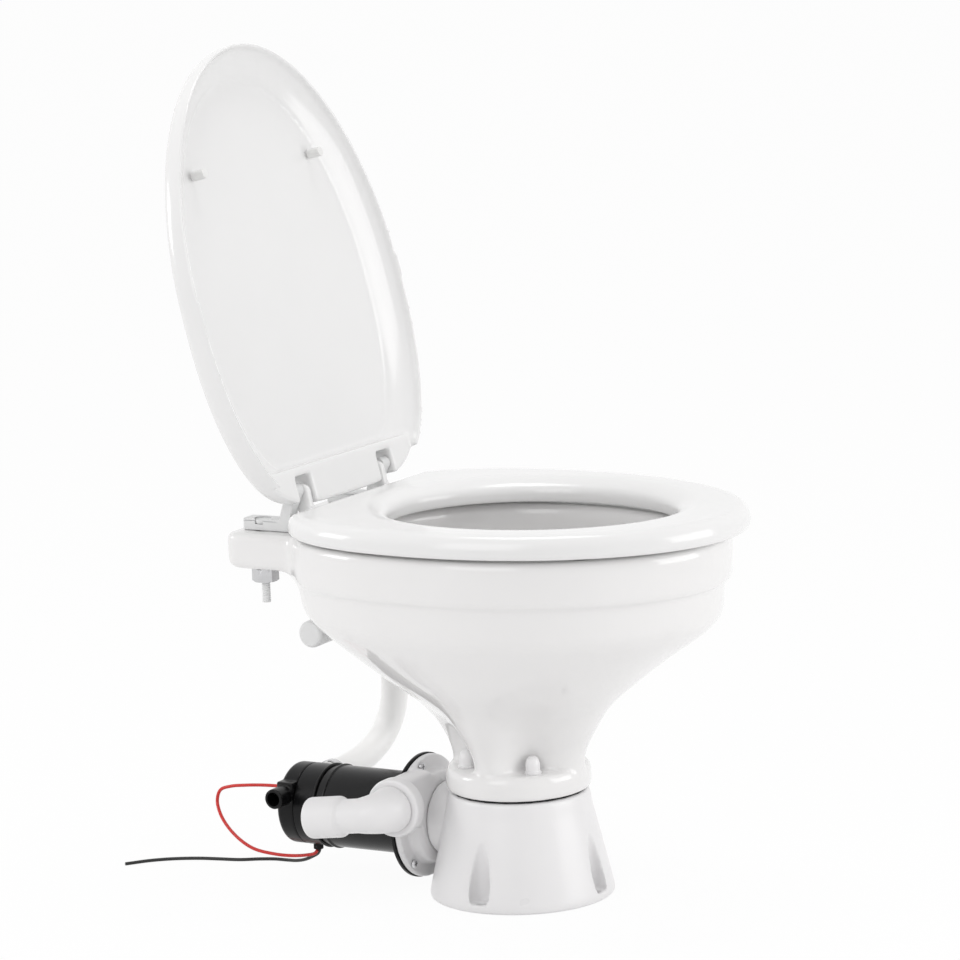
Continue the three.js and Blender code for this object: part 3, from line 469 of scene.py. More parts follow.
MATERIAL_SETTINGS = {
    "white_ceramic": dict(
        colour=(0.83, 0.825, 0.822),
        roughness=0.09,
        coat=0.3,
        mottle=0.01,
        wave=(11.0, 4e-4),
        grain=(700.0, 3e-6),
    ),
    "white_plastic": dict(
        colour=(0.82, 0.815, 0.82), roughness=0.3, mottle=0.01, wave=(16.0, 1e-4), grain=(1500.0, 4e-6)
    ),
    "white_enamel": dict(
        colour=(0.82, 0.82, 0.818),
        roughness=0.16,
        coat=0.2,
        mottle=0.008,
        wave=(8.0, 3e-4),
        grain=(900.0, 2e-6),
    ),
    "pale_plastic": dict(
        colour=(0.74, 0.745, 0.745), roughness=0.36, mottle=0.02, wave=(40.0, 1e-4), grain=(2200.0, 1e-5)
    ),
    "pale_hose": dict(
        colour=(0.96, 0.96, 0.95), roughness=0.34, mottle=0.02, wave=(25.0, 3e-4), grain=(1400.0, 1e-5)
    ),
    "pale_rubber": dict(colour=(0.8, 0.8, 0.79), roughness=0.6, mottle=0.02, grain=(2500.0, 2e-5)),
    "black_rubber": dict(
        colour=(0.012, 0.012, 0.013), roughness=0.7, specular=0.2, mottle=0.15, grain=(2500.0, 4e-5)
    ),
    "black_plastic": dict(
        colour=(0.005, 0.005, 0.0055),
        roughness=0.3,
        specular=0.2,
        mottle=0.15,
        wave=(45.0, 2e-4),
        grain=(2400.0, 1e-5),
    ),
    "black_paint": dict(
        colour=(0.004, 0.004, 0.0045),
        roughness=0.2,
        specular=0.3,
        mottle=0.1,
        wave=(30.0, 2e-4),
        grain=(1500.0, 1e-5),
    ),
    "stainless": dict(
        colour=(0.6, 0.6, 0.61),
        roughness=0.24,
        metallic=1,
        mottle=0.06,
        grain=(500.0, 8e-6),
        stretch=(1, 1, 12),
    ),
    "copper": dict(colour=(0.6, 0.25, 0.12), roughness=0.35, metallic=1, mottle=0.1, grain=(900.0, 1e-5)),
    "bronze": dict(colour=(0.45, 0.28, 0.11), roughness=0.45, metallic=1, mottle=0.1, grain=(900.0, 2e-5)),
    "laminations": dict(
        colour=(0.3, 0.31, 0.33),
        roughness=0.45,
        metallic=1,
        mottle=0.1,
        grain=(60.0, 1e-5),
        stretch=(1, 60, 1),
    ),
    "ferrite": dict(colour=(0.03, 0.03, 0.032), roughness=0.6, mottle=0.1, grain=(1200.0, 4e-5)),
    "carbon": dict(colour=(0.02, 0.02, 0.021), roughness=0.5, mottle=0.1, grain=(1500.0, 2e-5)),
    "black_lead": dict(colour=(0.008, 0.008, 0.008), roughness=0.4, mottle=0.1, grain=(1500.0, 1e-5)),
    "red_lead": dict(colour=(0.6, 0.02, 0.014), roughness=0.38, mottle=0.06, grain=(1500.0, 1e-5)),
}
MATERIALS = {slot: surface(slot, **settings) for slot, settings in MATERIAL_SETTINGS.items()}


def dress(piece, *nodes, sharp_degrees=38):
    """Gives a piece the body, slot and material of the CAD nodes that it stands for."""
    slot = SLOT_OF[nodes[0]]
    piece.data.materials.clear()
    piece.data.materials.append(MATERIALS[slot])
    if piece.type == "MESH":
        piece.data.shade_smooth()
        piece.data.set_sharp_from_angle(angle=math.radians(sharp_degrees))
    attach(piece, BODY_OF[nodes[0]])
    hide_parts(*nodes)


# Base


def make_base():
    """A tapered foot with a boss for the housing, a square way through, and pockets over the floor bolts."""
    passage = (-19, 19)
    sump_floor = 40
    boss_radius = 33.5
    pocket_radius = 11
    profile = [
        (0, 0.05),
        (BASE_FOOT_RADIUS, 0.05),
        (BASE_FOOT_RADIUS, 5),
        (82, 14),
        (73.6, 50),
        (66, 82),
        (BASE_TOP_RADIUS, 92),
        (BASE_TOP_RADIUS - 1.5, BASE_TOP),
        (0, BASE_TOP),
    ]
    base = turned("base_form", profile, "z", FOOT, 128, rounding=3)
    join(base, bar("boss", "y", boss_radius, (20, HOUSING_FRONT - 0.3), SHAFT))
    sump = rounded_box("sump", passage, passage, (sump_floor, BASE_TOP + 1))
    duct = rounded_box("duct", passage, (0, HOUSING_FRONT + 1), (sump_floor, SHAFT_Z + passage[1]))
    cut(base, sump, duct)
    for x, y in ((-1, 0), (1, 0), (0, -1), (0, 1)):
        at = (x * FLOOR_BOLT_CIRCLE, y * FLOOR_BOLT_CIRCLE, 0)
        under_boss = y > 0
        top_radius, top = (pocket_radius, 24) if under_boss else (5, 62)
        profile = [
            (0, FOOT_THICKNESS),
            (pocket_radius, FOOT_THICKNESS),
            (pocket_radius, 20),
            (top_radius, top),
            (0, top),
        ]
        pocket = turned("pocket", profile, "z", at, 48)
        cut(base, pocket, bar("hole", "z", FLOOR_BOLT_HOLE_RADIUS, (-1, FOOT_THICKNESS + 1), at, 32))
    cast(base, 1.3, 6)
    dress(base, "base", "base_foot", "base_skirt")


# Bowl


def level_rings(levels, steps):
    """Rings through levels: height, reach to front, side and back, squareness and depth of the hollows."""
    rings = []
    for z, front, half, rear, power, hollow in spline(levels, steps):
        ring = []
        for x, y, _ in outline(z, {"front": front, "half": half, "rear": rear, "power": power}):
            angle = math.atan2(y, x)
            reach = math.hypot(x, y) - hollow * math.sin(2 * angle) ** 2
            ring.append((reach * math.cos(angle), reach * math.sin(angle), z))
        rings.append(ring)
    return rings


def make_bowl():
    """The bowl with its foot flange, rear deck and inlet spud, hollow from the rim down to the outlet."""
    outside = [
        (FLANGE_TOP - 6, 66, 62, 64, 2, 26),
        (134, 68, 64, 67.5, 2, 26),
        (160, 81, 76, 81, 2, 20),
        (178, 93, 86, 97, 2, 12),
        (204, 123, 108, 121, 2.1, 3),
        (226, 152, 125, 147, 2.2, 0),
        (246, 181, 141, 171, 2.3, 0),
        (256, 192, 148, 181, 2.35, 0),
        (266, 198, 152, 189, 2.4, 0),
        (289, 200.2, 154.2, 193.2, 2.45, 0),
        (293, 201.2, 155, 194, 2.45, 0),
        (297, 206.6, 159, 198.6, 2.45, 0),
        (314, 208.4, 159.9, 199.9, 2.45, 0),
        (331, 208.4, 159.9, 199.9, 2.45, 0),
        (335, 206.5, 158, 198, 2.45, 0),
        (RIM_TOP, 203, 154.5, 194.5, 2.45, 0),
    ]
    bowl = loft("bowl_form", level_rings(outside, 6))
    profile = [
        (0, BOWL_FOOT),
        (64.5, BOWL_FOOT),
        (66, BOWL_FOOT + 3),
        (66, FLANGE_TOP - 5),
        (63, FLANGE_TOP),
        (0, FLANGE_TOP),
    ]
    flange = turned("flange", profile, "z", FOOT, rounding=4)
    deck_levels = (DECK_UNDERSIDE, RIM_TOP)
    deck = rounded_box("deck", (-DECK_HALF, DECK_HALF), (90, DECK_REAR), deck_levels, corner=13, edge=6)
    spud = bar("spud", "y", 18, (120, INLET_Y - 15.5), (0, 0, INLET_Z))
    join(bowl, flange, deck, spud)

    hollow = [
        (BOWL_FOOT - 1, OUTLET_RADIUS, OUTLET_RADIUS, OUTLET_RADIUS, 2, 0),
        (118, OUTLET_RADIUS, OUTLET_RADIUS, OUTLET_RADIUS, 2, 0),
        (138, 30, 30, 30, 2, 0),
        (160, 46, 46, 46, 2, 0),
        (180, 69, 66, 67, 2, 0),
        (208, 112, 97, 103, 2.1, 0),
        (246, 169, 129, 135, 2.3, 0),
        (260, 184, 137, 141, 2.4, 0),
        (300, 194, 144, 142, 2.45, 0),
    ]
    inside = loft("inside", level_rings(hollow, 5))
    opening = stack("opening", RIM_OPENING, [(299, 0), (330, 0), (RIM_TOP + 0.5, -5)])
    cut(bowl, inside, opening, bar("spud_bore", "y", 12, (152, INLET_Y), (0, 0, INLET_Z)))
    for x, y in BOWL_BOLTS:
        cut(bowl, bar("spot_face", "z", 9.5, (FLANGE_TOP - 0.6, FLANGE_TOP + 8), (x, y, 0)))
    hole_span = (DECK_UNDERSIDE - 1, RIM_TOP + 1)
    for x in (-HINGE_X, HINGE_X):
        cut(bowl, bar("hole", "z", HINGE_BOLT_HOLE_RADIUS, hole_span, (x, HINGE_BOLT_Y, 0), 32))
    cast(bowl, 1.8, 5)
    relax(bowl, 60, deck_weight)
    dress(bowl, "bowl")


def deck_weight(points):
    """Where the rear deck leaves the round of the bowl: its wide inner curves and its underside."""
    x, y, z = points.T
    corner_x, corner_y = 104, 160
    beside = np.exp(-(((np.abs(x) - corner_x) / 14) ** 2) - ((y - corner_y) / 22) ** 2)
    under = np.exp(-(((z - DECK_UNDERSIDE + 2) / 9) ** 2)) * (y > 150) * (np.abs(x) < DECK_HALF + 10)
    return np.clip(beside + 0.8 * under, 0, 1) * (z < RIM_TOP - 0.8) * (y > 145)


def make_bowl_bolts():
    seat = FLANGE_TOP - 0.7
    end = 73.2
    shank = 3.9
    profile = [
        (0, end),
        (shank, end),
        (shank, seat),
        (7.8, seat),
        (7.8, seat + 2.2),
        (6.9, seat + 2.4),
        (6.6, seat + 3.4),
        (6.5, seat + 10),
        (5.2, seat + 14.2),
        (2.6, seat + 16.2),
        (0, seat + 16.5),
    ]
    for i, (x, y) in enumerate(BOWL_BOLTS):
        name = f"bowl_bolt_{i + 1}"
        dress(turned(f"{name}_form", profile, "z", (x, y, 0), 48, rounding=1.5), name)


# Seat, lid and hinges


def make_seat():
    levels = [
        (SEAT_UNDERSIDE, 4),
        (342, 1.5),
        (344.5, 0.25),
        (351, 0.25),
        (356, 2.3),
        (360.4, 6.5),
        (SEAT_TOP - 0.3, 12),
        (SEAT_TOP, 18),
    ]
    seat = stack("seat_form", SEAT, levels)
    opening_levels = [
        (SEAT_UNDERSIDE - 1, -2),
        (343, 0),
        (351, 0),
        (355, -2.5),
        (358.5, -8.5),
        (361, -16),
        (SEAT_TOP + 0.5, -28),
    ]
    opening = stack("seat_opening", SEAT_OPENING, opening_levels)
    slope = slab("slope", [(150, SEAT_TOP + 0.4), (185, 346.5), (190, 370), (150, 370)], (-110, 110))
    cut(seat, opening, slope)
    for sign in (-1, 1):
        ear_span = mirrored((60.8, 69.2), sign)
        ear = bar("ear", "x", 9.5, ear_span, (0, 178, 369.5))
        web = slab("web", [(164, 348), (178, 348), (187.3, 369.5), (168.7, 369.5)], ear_span)
        join(seat, ear, web)
    cast(seat, 1.4, 8)
    dress(seat, "seat")
    bumper_span = (RIM_TOP + 0.7, SEAT_UNDERSIDE - 0.2)
    for i, (x, y) in enumerate(((-106, -130), (106, -130), (-134, 95), (134, 95))):
        name = f"seat_bumper_{i + 1}"
        dress(bar(f"{name}_form", "z", 7.9, bumper_span, (x, y, 0), 48, 0.8), name)


def lid_level(share, inset):
    """A level of the lid's outside, at a share of its thickness, which grows towards the hinge."""
    front, rear = 21, 33
    ring = []
    for x, y, _ in outline(0, LID, inset):
        along = (y + LID["front"]) / (LID["front"] + LID["cut"])
        ring.append((x, y, LID_RIM + share * (front + (rear - front) * along)))
    return ring


def make_lid():
    levels = [
        (0.0, 1.2),
        (0.05, 0.2),
        (0.5, 0.1),
        (0.72, 1),
        (0.86, 3.6),
        (0.95, 8),
        (1.0, 16),
        (1.1, 50),
        (1.14, 90),
    ]
    lid = loft("lid_form", [lid_level(share, inset) for share, inset in spline(levels, 5)])
    tray_levels = [
        (LID_RIM - 1, 0.6),
        (LID_RIM + 2, 3.2),
        (362, 4.6),
        (367, 10),
        (371, 17),
        (375, 26.5),
        (LID_FLOOR, 31),
    ]
    tray = stack("tray", LID, tray_levels)
    ledge_top = 364
    over_seat = rounded_box("over_seat", (-120, 120), (150, 202), (LID_RIM - 2, ledge_top), 2, 1)
    ledge = rounded_box("ledge", (-122, 122), (158, 203), (ledge_top, LID_FLOOR + 3), 2, 1)
    cut(tray, ledge)
    cut(lid, tray, over_seat)
    for sign in (-1, 1):
        notch_span = mirrored((58, 82.6), sign)
        cut(lid, rounded_box("notch", notch_span, (PIVOT_Y - 12, 202), (350, 400), 1, 0.5))
    cast(lid, 1.5, 8)
    rotate_about_x(lid, -LID_OPEN, PIVOT)
    dress(lid, "lid", "lid_lug_left", "lid_lug_middle", "lid_lug_right")
    for side, sign in SIDES:
        at = (sign * 98, -117, 0)
        bumper = bar(f"lid_bumper_{side}_form", "z", 4.4, (SEAT_TOP + 0.4, 376), at, 32, 1.2)
        rotate_about_x(bumper, -LID_OPEN, PIVOT)
        dress(bumper, f"lid_bumper_{side}")


def threaded(name, radius, span, at, pitch=2.0, depth=0.5, sides=40):
    """An upright bar with a screw thread cut into it."""
    rings = []
    length = span[1] - span[0]
    steps = int(length / pitch * 8)
    for i in range(steps + 1):
        z = span[0] + length * i / steps
        ring = []
        for k in range(sides):
            turns = z / pitch - k / sides
            reach = radius - depth * (0.5 + 0.5 * math.cos(TURN * turns))
            ring.append(placed("z", at, reach, z, TURN * k / sides))
        rings.append(ring)
    return loft(name, rings)


def hexagon(name, across_corners, span, at, chamfer=0.8, sides=72):
    """An upright six-sided bar with its corners turned off at both ends."""
    apothem = across_corners * math.cos(math.pi / 6)
    rings = []
    for z, limit in (
        (span[0], apothem),
        (span[0] + chamfer, across_corners),
        (span[1] - chamfer, across_corners),
        (span[1], apothem),
    ):
        ring = []
        for k in range(sides):
            angle = TURN * k / sides
            flat = apothem / math.cos((angle % (math.pi / 3)) - math.pi / 6)
            ring.append(placed("z", at, min(flat, limit), z, angle))
        rings.append(ring)
    return loft(name, rings)


def make_hinge_block(side, sign, pad_top):
    """A pad on the deck with a post for the pin, a groove round its snap-on cover and a well for the bolt."""
    pad = (mirrored((63.1, 81.9), sign), (180.9, 231.9), (RIM_TOP + 0.3, pad_top))
    block = rounded_box(f"hinge_block_{side}_form", *pad, 2.5, 0.8)
    post_span = mirrored((70, 82), sign)
    side_view = [
        (182.4, 343),
        (194, 343),
        (188, 362),
        (184.2, 371),
        (PIVOT_Y, PIVOT_Z),
        (173.4, 369.4),
        (177.6, 360),
    ]
    join(block, slab("post", side_view, post_span), bar("knuckle", "x", 6.45, post_span, PIVOT))
    groove_levels = (pad_top - 2.4, pad_top - 1.7)
    groove = rounded_box("groove", mirrored((50, 95), sign), (196, 240), groove_levels, 1, 0.2)
    core = rounded_box("core", mirrored((64.2, 80.8), sign), (190, 230.8), (pad_top - 4, pad_top), 2, 0.2)
    cut(groove, core)
    well = bar("well", "z", 8, (pad_top - 5, pad_top + 1), (sign * HINGE_X, HINGE_BOLT_Y, 0))
    cast(block, 0.5, 3)
    cut(block, groove, well)
    dress(block, f"hinge_block_{side}")


def make_hinges():
    pad_top = RIM_TOP + 11
    bolt_end = 269.2
    nut_span = (DECK_UNDERSIDE - 13.2, DECK_UNDERSIDE - 0.4)
    for side, sign in SIDES:
        make_hinge_block(side, sign, pad_top)
        pin = bar(f"hinge_pin_{side}_form", "x", 2.45, mirrored((54.2, 88.3), sign), PIVOT, 32, 0.5)
        dress(pin, f"hinge_pin_{side}")
        at = (sign * HINGE_X, HINGE_BOLT_Y, 0)
        bolt = threaded(f"hinge_bolt_{side}_form", 4, (bolt_end, pad_top - 4.5), at)
        join(bolt, bar("head", "z", 7.1, (pad_top - 4.6, pad_top - 1.1), at, 48, 0.8))
        dress(bolt, f"hinge_bolt_{side}")
        nut = hexagon(f"hinge_nut_{side}_form", 12.3, nut_span, at)
        cut(nut, bar("thread", "z", 4.2, (270, DECK_UNDERSIDE + 1), at, 32))
        dress(nut, f"hinge_nut_{side}")


# Flush inlet and hose


def make_inlet():
    tee_profile = [(0, -38.6), (12.4, -38.6), (12.4, 27), (9.6, 30), (9.4, 49), (8.6, 49.9), (0, 49.9)]
    tee = turned("inlet_tee_form", tee_profile, "x", INLET, rounding=1.5)
    join(tee, bar("stem", "y", 9.4, (155.2, INLET_Y), (0, 0, INLET_Z)))
    cast(tee, 0.8, 6)
    cut(tee, bar("bore", "x", 6.5, (-37, 51), INLET))
    dress(tee, "inlet_tee")
    plug_radius = 6.1
    cap_profile = [
        (0, CAP_FACE - 12.9),
        (10.2, CAP_FACE - 12.9),
        (12.6, CAP_FACE - 10.4),
        (12.6, CAP_FACE),
        (plug_radius, CAP_FACE),
        (plug_radius, CAP_FACE + 9.8),
        (0, CAP_FACE + 9.8),
    ]
    dress(turned("inlet_cap_form", cap_profile, "x", INLET, rounding=1.4), "inlet_cap")


def bezier(points, steps):
    a, b, c, d = [Vector(point) for point in points]
    for i in range(steps + 1):
        t = i / steps
        yield a * (1 - t) ** 3 + b * 3 * t * (1 - t) ** 2 + c * 3 * t**2 * (1 - t) + d * t**3


def make_hose():
    """From the pump's far port out, up and back to the inlet, inside and outside as one skin."""
    start = Vector((PORT_TIP - 14, PORT_Y, PORT_Z))
    end = Vector((30, INLET_Y, INLET_Z))
    out = Vector((1, 0, 0))
    route = [start]
    route += bezier([start + out * 20, start + out * 196, end + out * 48, end + out * 20], 60)
    route.append(end)
    outside, inside = 12.9, 10.35
    radii = [outside] * len(route) + [inside] * len(route)
    hose = swept("flush_hose_form", route + route[::-1], radii, 56, closed=True)
    dress(hose, "flush_hose", sharp_degrees=60)
    clamp_inset = 8
    for place, (x, y, z) in (("lower", start), ("upper", end)):
        make_clamp(place, x + clamp_inset, y, z)


def make_clamp(place, x, y, z):
    """A worm-drive clamp: a thin band, a housing over its screw, and the screw's slotted head."""
    profile = [(13.75, -3.9), (14.5, -3.9), (14.6, -3.5), (14.6, 3.5), (14.5, 3.9), (13.75, 3.9)]
    band = turned(f"hose_clamp_{place}_form", profile, "x", (x, y, z))
    housing = rounded_box("housing", (x - 3.8, x + 3.8), (y + 13.9, y + 20.3), (z - 4.5, z + 3.5), 1.2, 0.6)
    screw_y = y + 17.1
    screw = bar("screw", "z", 3.3, (z - 6.9, z + 6.9), (x, screw_y, 0), 32, 0.5)
    join(band, housing, screw)
    slot = rounded_box("slot", (x - 4, x + 4), (screw_y - 0.5, screw_y + 0.5), (z + 5.6, z + 8), 0.3, 0.2)
    cut(band, slot)
    dress(band, f"hose_clamp_{place}")


# Macerator housing, motor and pump


def screw_places():
    for degrees in SCREW_DEGREES:
        angle = math.radians(degrees)
        yield SCREW_CIRCLE * math.cos(angle), SHAFT_Z + SCREW_CIRCLE * math.sin(angle)


def make_housing():
    profile = [
        (0, HOUSING_FRONT),
        (38, HOUSING_FRONT),
        (42, HOUSING_FRONT + 3),
        (44, HOUSING_FLANGE),
        (FLANGE_RADIUS - 0.6, HOUSING_FLANGE),
        (FLANGE_RADIUS - 0.2, HOUSING_REAR),
        (0, HOUSING_REAR),
    ]
    housing = turned("macerator_housing_form", profile, "y", SHAFT, 128, rounding=1.6)
    root = bar("root", "x", COLLAR_RADIUS - 1.2, (-59.3, -12), COLLAR)
    block = rounded_box("block", (-62, 0), (HOUSING_FRONT, HOUSING_REAR), (20, 130), 0.5, 0.3)
    combine(root, "INTERSECT", [block])
    collar = bar("collar", "x", COLLAR_RADIUS - 0.2, (COLLAR_FACE, -58.3), COLLAR, 96, 1.8)
    join(housing, root, collar)
    eye = bar("eye", "y", 20, (HOUSING_FRONT - 1, HOUSING_REAR), SHAFT)
    chamber = bar("chamber", "y", 36, (HOUSING_FRONT + 4.5, HOUSING_REAR + 1), SHAFT)
    socket = bar("socket", "x", 15.6, (COLLAR_FACE - 1, -60.7), COLLAR)
    outlet = bar("outlet", "x", 8, (-61.7, -8), (0, COLLAR_Y - 1, COLLAR_Z))
    cut(housing, eye, chamber, socket, outlet)
    for x, z in screw_places():
        cut(housing, bar("seat", "y", 5.6, (74, HOUSING_FLANGE + 0.4), (x, 0, z), 40))
    cast(housing, 0.9, 6)
    dress(housing, "macerator_housing")


def make_housing_screws():
    """Round-headed screws with a cross recess, from the housing's flange into the motor's."""
    shank = 2.5
    end = MOTOR_FLANGE_REAR + 2.9
    profile = [
        (0, HOUSING_FLANGE - 2.9),
        (2.6, HOUSING_FLANGE - 2.8),
        (3.9, HOUSING_FLANGE - 1.4),
        (3.9, HOUSING_FLANGE),
        (shank, HOUSING_FLANGE),
        (shank, end),
        (0, end),
    ]
    depths = (HOUSING_FLANGE - 4, HOUSING_FLANGE - 1.3)
    for i, (x, z) in enumerate(screw_places()):
        name = f"housing_screw_{i + 1}"
        screw = turned(f"{name}_form", profile, "y", (x, 0, z), 40, rounding=0.5)
        for wide, tall in ((2.6, 0.45), (0.45, 2.6)):
            cut(screw, rounded_box("cross", (x - wide, x + wide), depths, (z - tall, z + tall), 0.1, 0.05))
        dress(screw, name)


def make_motor():
    pilot_radius, pilot_end = 28, 113
    bore = 10.3
    bead = MOTOR_RADIUS + 1.4
    flange_profile = [
        (bore, HOUSING_REAR + 0.3),
        (FLANGE_RADIUS + 0.6, HOUSING_REAR + 0.3),
        (FLANGE_RADIUS + 0.6, MOTOR_FLANGE_REAR - 0.6),
        (MOTOR_RADIUS + 1, MOTOR_FLANGE_REAR),
        (pilot_radius, MOTOR_FLANGE_REAR),
        (pilot_radius, pilot_end),
        (bore, pilot_end),
    ]
    dress(turned("motor_flange_form", flange_profile, "y", SHAFT, 128, rounding=0.7), "motor_flange")
    can_profile = [
        (MOTOR_RADIUS - 2, MOTOR_FLANGE_REAR + 0.3),
        (MOTOR_RADIUS, MOTOR_FLANGE_REAR + 0.3),
        (MOTOR_RADIUS, CAN_REAR - 9.5),
        (bead, CAN_REAR - 9),
        (bead, CAN_REAR - 7.4),
        (MOTOR_RADIUS - 0.6, CAN_REAR - 6.9),
        (MOTOR_RADIUS - 0.6, CAN_REAR),
        (MOTOR_RADIUS - 2, CAN_REAR),
    ]
    dress(turned("motor_can_form", can_profile, "y", SHAFT, 160, rounding=0.6), "motor_can")
    bell_profile = [
        (0, CAN_REAR + 0.3),
        (MOTOR_RADIUS, CAN_REAR + 0.3),
        (bead, CAN_REAR + 0.8),
        (bead, CAN_REAR + 2.4),
        (MOTOR_RADIUS, CAN_REAR + 2.9),
        (MOTOR_RADIUS, BELL_REAR),
        (0, BELL_REAR),
    ]
    dress(turned("motor_end_bell_form", bell_profile, "y", SHAFT, 160, rounding=0.6), "motor_end_bell")


def make_pump_head():
    profile = [
        (0, BELL_REAR + 0.3),
        (MOTOR_RADIUS - 0.1, BELL_REAR + 0.3),
        (MOTOR_RADIUS - 0.1, HEAD_REAR - 4),
        (34, HEAD_REAR - 0.6),
        (29, HEAD_REAR - 0.1),
        (0, HEAD_REAR - 0.1),
    ]
    head = turned("pump_head_form", profile, "y", SHAFT, 128, rounding=2)
    block_depth = (BELL_REAR + 0.4, HEAD_REAR - 2)
    block_levels = (SHAFT_Z + 3, 89.9)
    for sign in (-1, 1):
        port = bar("port", "x", 9.4, mirrored((20, PORT_TIP - 0.1), sign), PORTS, 96, 0.7)
        block = rounded_box("block", mirrored((15, 36.9), sign), block_depth, block_levels, 2, 1.2)
        join(head, port, block)
    cast(head, 0.8, 4)
    cut(head, bar("bore", "x", 6.6, (-PORT_TIP - 1, PORT_TIP + 1), PORTS))
    dress(head, "pump_head")


# Discharge elbow


def make_elbow():
    reach, spigot = 72, 33
    bend_radius, steps = 21, 20
    wide, narrow = 21.4, 15.7
    passage, spigot_passage = 12.6, 15
    start_x = COLLAR_FACE - 0.3
    bend_x = start_x - 3
    centres = [(start_x, COLLAR_Y, COLLAR_Z), (start_x - 1.5, COLLAR_Y, COLLAR_Z)]
    radii = [wide - 0.8, wide - 0.1]
    for i in range(steps + 1):
        angle = math.pi / 2 * i / steps
        x = bend_x - bend_radius * math.sin(angle)
        y = COLLAR_Y + bend_radius * (1 - math.cos(angle))
        centres.append((x, y, COLLAR_Z))
        radii.append(wide + (narrow - wide) * i / steps)
    x = bend_x - bend_radius
    tip = COLLAR_Y + reach
    for y, radius in (
        (tip - spigot - 6, narrow),
        (tip - spigot - 4.6, narrow + 0.1),
        (tip - spigot - 0.6, 18.6),
        (tip - spigot + 0.6, 18.9),
        (tip - 2.2, 18.9),
        (tip - 0.7, 18.3),
        (tip - 0.1, 17.2),
    ):
        centres.append((x, y, COLLAR_Z))
        radii.append(radius)
    elbow = swept("discharge_elbow_form", centres, radii, 72)
    join(elbow, bar("neck", "x", 15.2, (COLLAR_FACE - 2, -64.4), COLLAR))
    bend = centres[: steps + 3]
    straight = [(x, tip - spigot, COLLAR_Z), (x, tip + 1, COLLAR_Z)]
    inner = swept("inner", bend + straight, [passage] * len(bend + straight))
    end = bar("end", "y", spigot_passage, (tip - spigot + 2, tip + 1), (x, 0, COLLAR_Z))
    mouth = bar("mouth", "x", passage, (COLLAR_FACE - 1, -60), COLLAR)
    cast(elbow, 0.9, 5)
    cut(elbow, inner, end, mouth)
    rotate_about_x(elbow, ELBOW_TILT, COLLAR)
    dress(elbow, "discharge_elbow")


# Motor leads, in metres

LEAD_RADIUS = 0.0016
BLACK_ROUTE = [
    (-0.0028, 0.2145, 0.0202),
    (-0.0028, 0.2166, 0.016),
    (-0.0018, 0.224, 0.0115),
    (0.001, 0.234, 0.007),
    (0.005, 0.2455, 0.0038),
    (0.009, 0.258, 0.002),
    (0.0085, 0.272, 0.0018),
    (0.003, 0.286, 0.0018),
    (-0.006, 0.302, 0.0018),
    (-0.011, 0.322, 0.0018),
    (-0.016, 0.341, 0.0018),
    (-0.026, 0.362, 0.0018),
    (-0.04, 0.38, 0.0018),
    (-0.0599, 0.3959, 0.0018),
]
RED_ROUTE = [
    (-0.0072, 0.2145, 0.0198),
    (-0.0076, 0.2174, 0.0166),
    (-0.008, 0.227, 0.014),
    (-0.008, 0.2436, 0.0119),
    (-0.008, 0.261, 0.0117),
    (-0.006, 0.285, 0.0138),
    (-0.002, 0.303, 0.0197),
    (0.004, 0.3205, 0.0295),
    (0.01, 0.3325, 0.04),
    (0.015, 0.3385, 0.051),
    (0.015, 0.3345, 0.0615),
    (0.014, 0.322, 0.0665),
    (0.014, 0.3055, 0.069),
    (0.014, 0.2865, 0.0708),
    (0.014, 0.268, 0.0716),
    (0.014, 0.2435, 0.072),
]


def make_lead(node, route):
    """A lead as a round curve along its route."""
    points = [Vector(point) for point in spline(route, 8)]
    length = sum((b - a).length for a, b in zip(points, points[1:]))
    curve = bpy.data.curves.new(f"{node}_form", "CURVE")
    curve.dimensions = "3D"
    curve.bevel_depth = LEAD_RADIUS
    curve.bevel_resolution = 4
    curve.use_fill_caps = True
    line = curve.splines.new("POLY")
    line.points.add(len(points) - 1)
    for spot, point in zip(line.points, points):
        spot.co = (*point, 1)
    lead = bpy.data.objects.new(f"{node}_form", curve)
    bpy.context.scene.collection.objects.link(lead)
    dress(lead, node)
    tuple(points[0])


# Camera, light and floor


def make_camera():
    """The photograph's view, from the front left of the toilet and a little above the seat."""
    azimuth = math.radians(-60)
    elevation = math.radians(9.78)
    roll = math.radians(2.17)
    distance = 3.946
    aim_right, aim_up = -0.02495, 0.12934
    back = Vector(
        (
            math.sin(azimuth) * math.cos(elevation),
            -math.cos(azimuth) * math.cos(elevation),
            math.sin(elevation),
        )
    )
    right = Vector((math.cos(azimuth), math.sin(azimuth), 0))
    up = back.cross(right)
    aim = Vector((0, 0, 0.25)) + aim_right * right + aim_up * up
    rolled_right = math.cos(roll) * right - math.sin(roll) * up
    rolled_up = math.sin(roll) * right + math.cos(roll) * up
    data = bpy.data.cameras.new("camera")
    data.sensor_width = 36
    data.lens = 164.3
    data.clip_end = 60
    camera = bpy.data.objects.new("camera", data)
    bpy.context.scene.collection.objects.link(camera)
    facing = Matrix((rolled_right, rolled_up, back)).transposed().to_4x4()
    camera.matrix_world = Matrix.Translation(aim + back * distance) @ facing
    bpy.context.scene.camera = camera


def area_light(name, place, aim, size, power):
    data = bpy.data.lights.new(name, "AREA")
    data.shape = "RECTANGLE"
    data.size, data.size_y = size
    data.energy = power
    light = bpy.data.objects.new(name, data)
    bpy.context.scene.collection.objects.link(light)
    light.location = place
    direction = Vector(aim) - Vector(place)
    light.rotation_euler = direction.to_track_quat("-Z", "Y").to_euler()


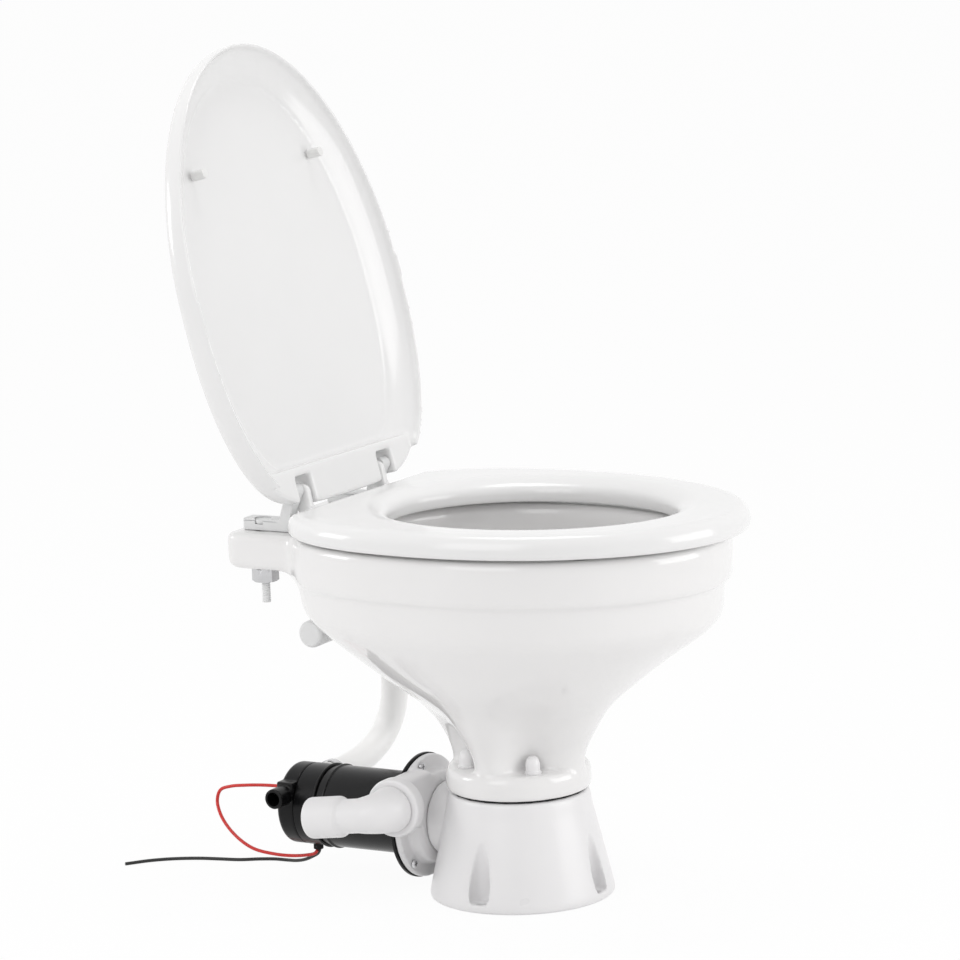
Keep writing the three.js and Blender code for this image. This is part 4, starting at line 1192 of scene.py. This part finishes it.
def seen_directly(tree):
    """1 for rays from the camera, and for those that metal or glass sends on."""
    path = tree.nodes.new("ShaderNodeLightPath")
    seen = path.outputs["Is Camera Ray"]
    for kind in ("Is Glossy Ray", "Is Transmission Ray"):
        either = tree.nodes.new("ShaderNodeMath")
        either.operation = "MAXIMUM"
        link(tree, seen, either.inputs[0])
        link(tree, path.outputs[kind], either.inputs[1])
        seen = either.outputs[0]
    return seen


def mix_by(tree, share, first, second):
    """A shader that goes from the first to the second as share goes from 0 to 1."""
    mix = tree.nodes.new("ShaderNodeMixShader")
    for i, source in enumerate((share, first, second)):
        link(tree, source, mix.inputs[i])
    return mix.outputs[0]


def make_world():
    """Soft light from all round, behind a white background."""
    world = bpy.data.worlds.new("studio")
    bpy.context.scene.world = world
    world.use_nodes = True
    tree = world.node_tree
    tree.nodes.clear()
    lighting = tree.nodes.new("ShaderNodeBackground")
    lighting.inputs["Color"].default_value = (1, 0.99, 0.99, 1)
    lighting.inputs["Strength"].default_value = 0.65
    white = tree.nodes.new("ShaderNodeBackground")
    white.inputs["Color"].default_value = (1, 1, 1, 1)
    output = tree.nodes.new("ShaderNodeOutputWorld")
    link(tree, mix_by(tree, seen_directly(tree), lighting.outputs[0], white.outputs[0]), output.inputs[0])


def make_floor():
    """A pale floor that keeps a little of the toilet's shadow."""
    reach = 12000
    own_light = 0.95
    corners = [(x * reach, y * reach, -0.2) for x, y in ((-1, -1), (1, -1), (1, 1), (-1, 1))]
    floor = new_piece("floor", corners, [(0, 1, 2, 3)])
    material = bpy.data.materials.new("floor")
    material.use_nodes = True
    tree = material.node_tree
    tree.nodes.clear()
    diffuse = tree.nodes.new("ShaderNodeBsdfDiffuse")
    diffuse.inputs["Color"].default_value = (0.9, 0.9, 0.9, 1)
    glow = tree.nodes.new("ShaderNodeEmission")
    share = tree.nodes.new("ShaderNodeMath")
    share.operation = "MULTIPLY"
    share.inputs[1].default_value = own_light
    link(tree, seen_directly(tree), share.inputs[0])
    output = tree.nodes.new("ShaderNodeOutputMaterial")
    link(tree, mix_by(tree, share.outputs[0], diffuse.outputs[0], glow.outputs[0]), output.inputs[0])
    floor.data.materials.append(material)
    floor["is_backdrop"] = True


def make_lights():
    area_light("left", (-2.4, 0.2, 1.4), (0, 0, 0.3), (1.4, 1.8), 12)
    area_light("front", (0.6, -2.6, 0.9), (0, 0, 0.4), (1.8, 1.6), 24)
    area_light("top", (0.2, 0.3, 2.6), (0, 0, 0.3), (1.0, 1.0), 13)
    area_light("behind", (-1.2, 2.4, 1.1), (0, 0.2, 0.2), (0.8, 0.8), 10)


make_camera()
make_lead("lead_black", BLACK_ROUTE)
make_lead("lead_red", RED_ROUTE)
make_world()
make_floor()
make_lights()
for node, piece in frame["nodes"].items():
    piece.data.materials.clear()
    piece.data.materials.append(MATERIALS[SLOT_OF[node]])
make_base()
make_bowl()
make_bowl_bolts()
make_seat()
make_lid()
make_hinges()
make_inlet()
make_hose()
make_housing()
make_housing_screws()
make_motor()
make_pump_head()
make_elbow()

bpy.context.scene.view_settings.view_transform = "Standard"

sizes = {"cad": cad_box, "visual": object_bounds()}
{name: [list(corner) for corner in box] for name, box in sizes.items()}
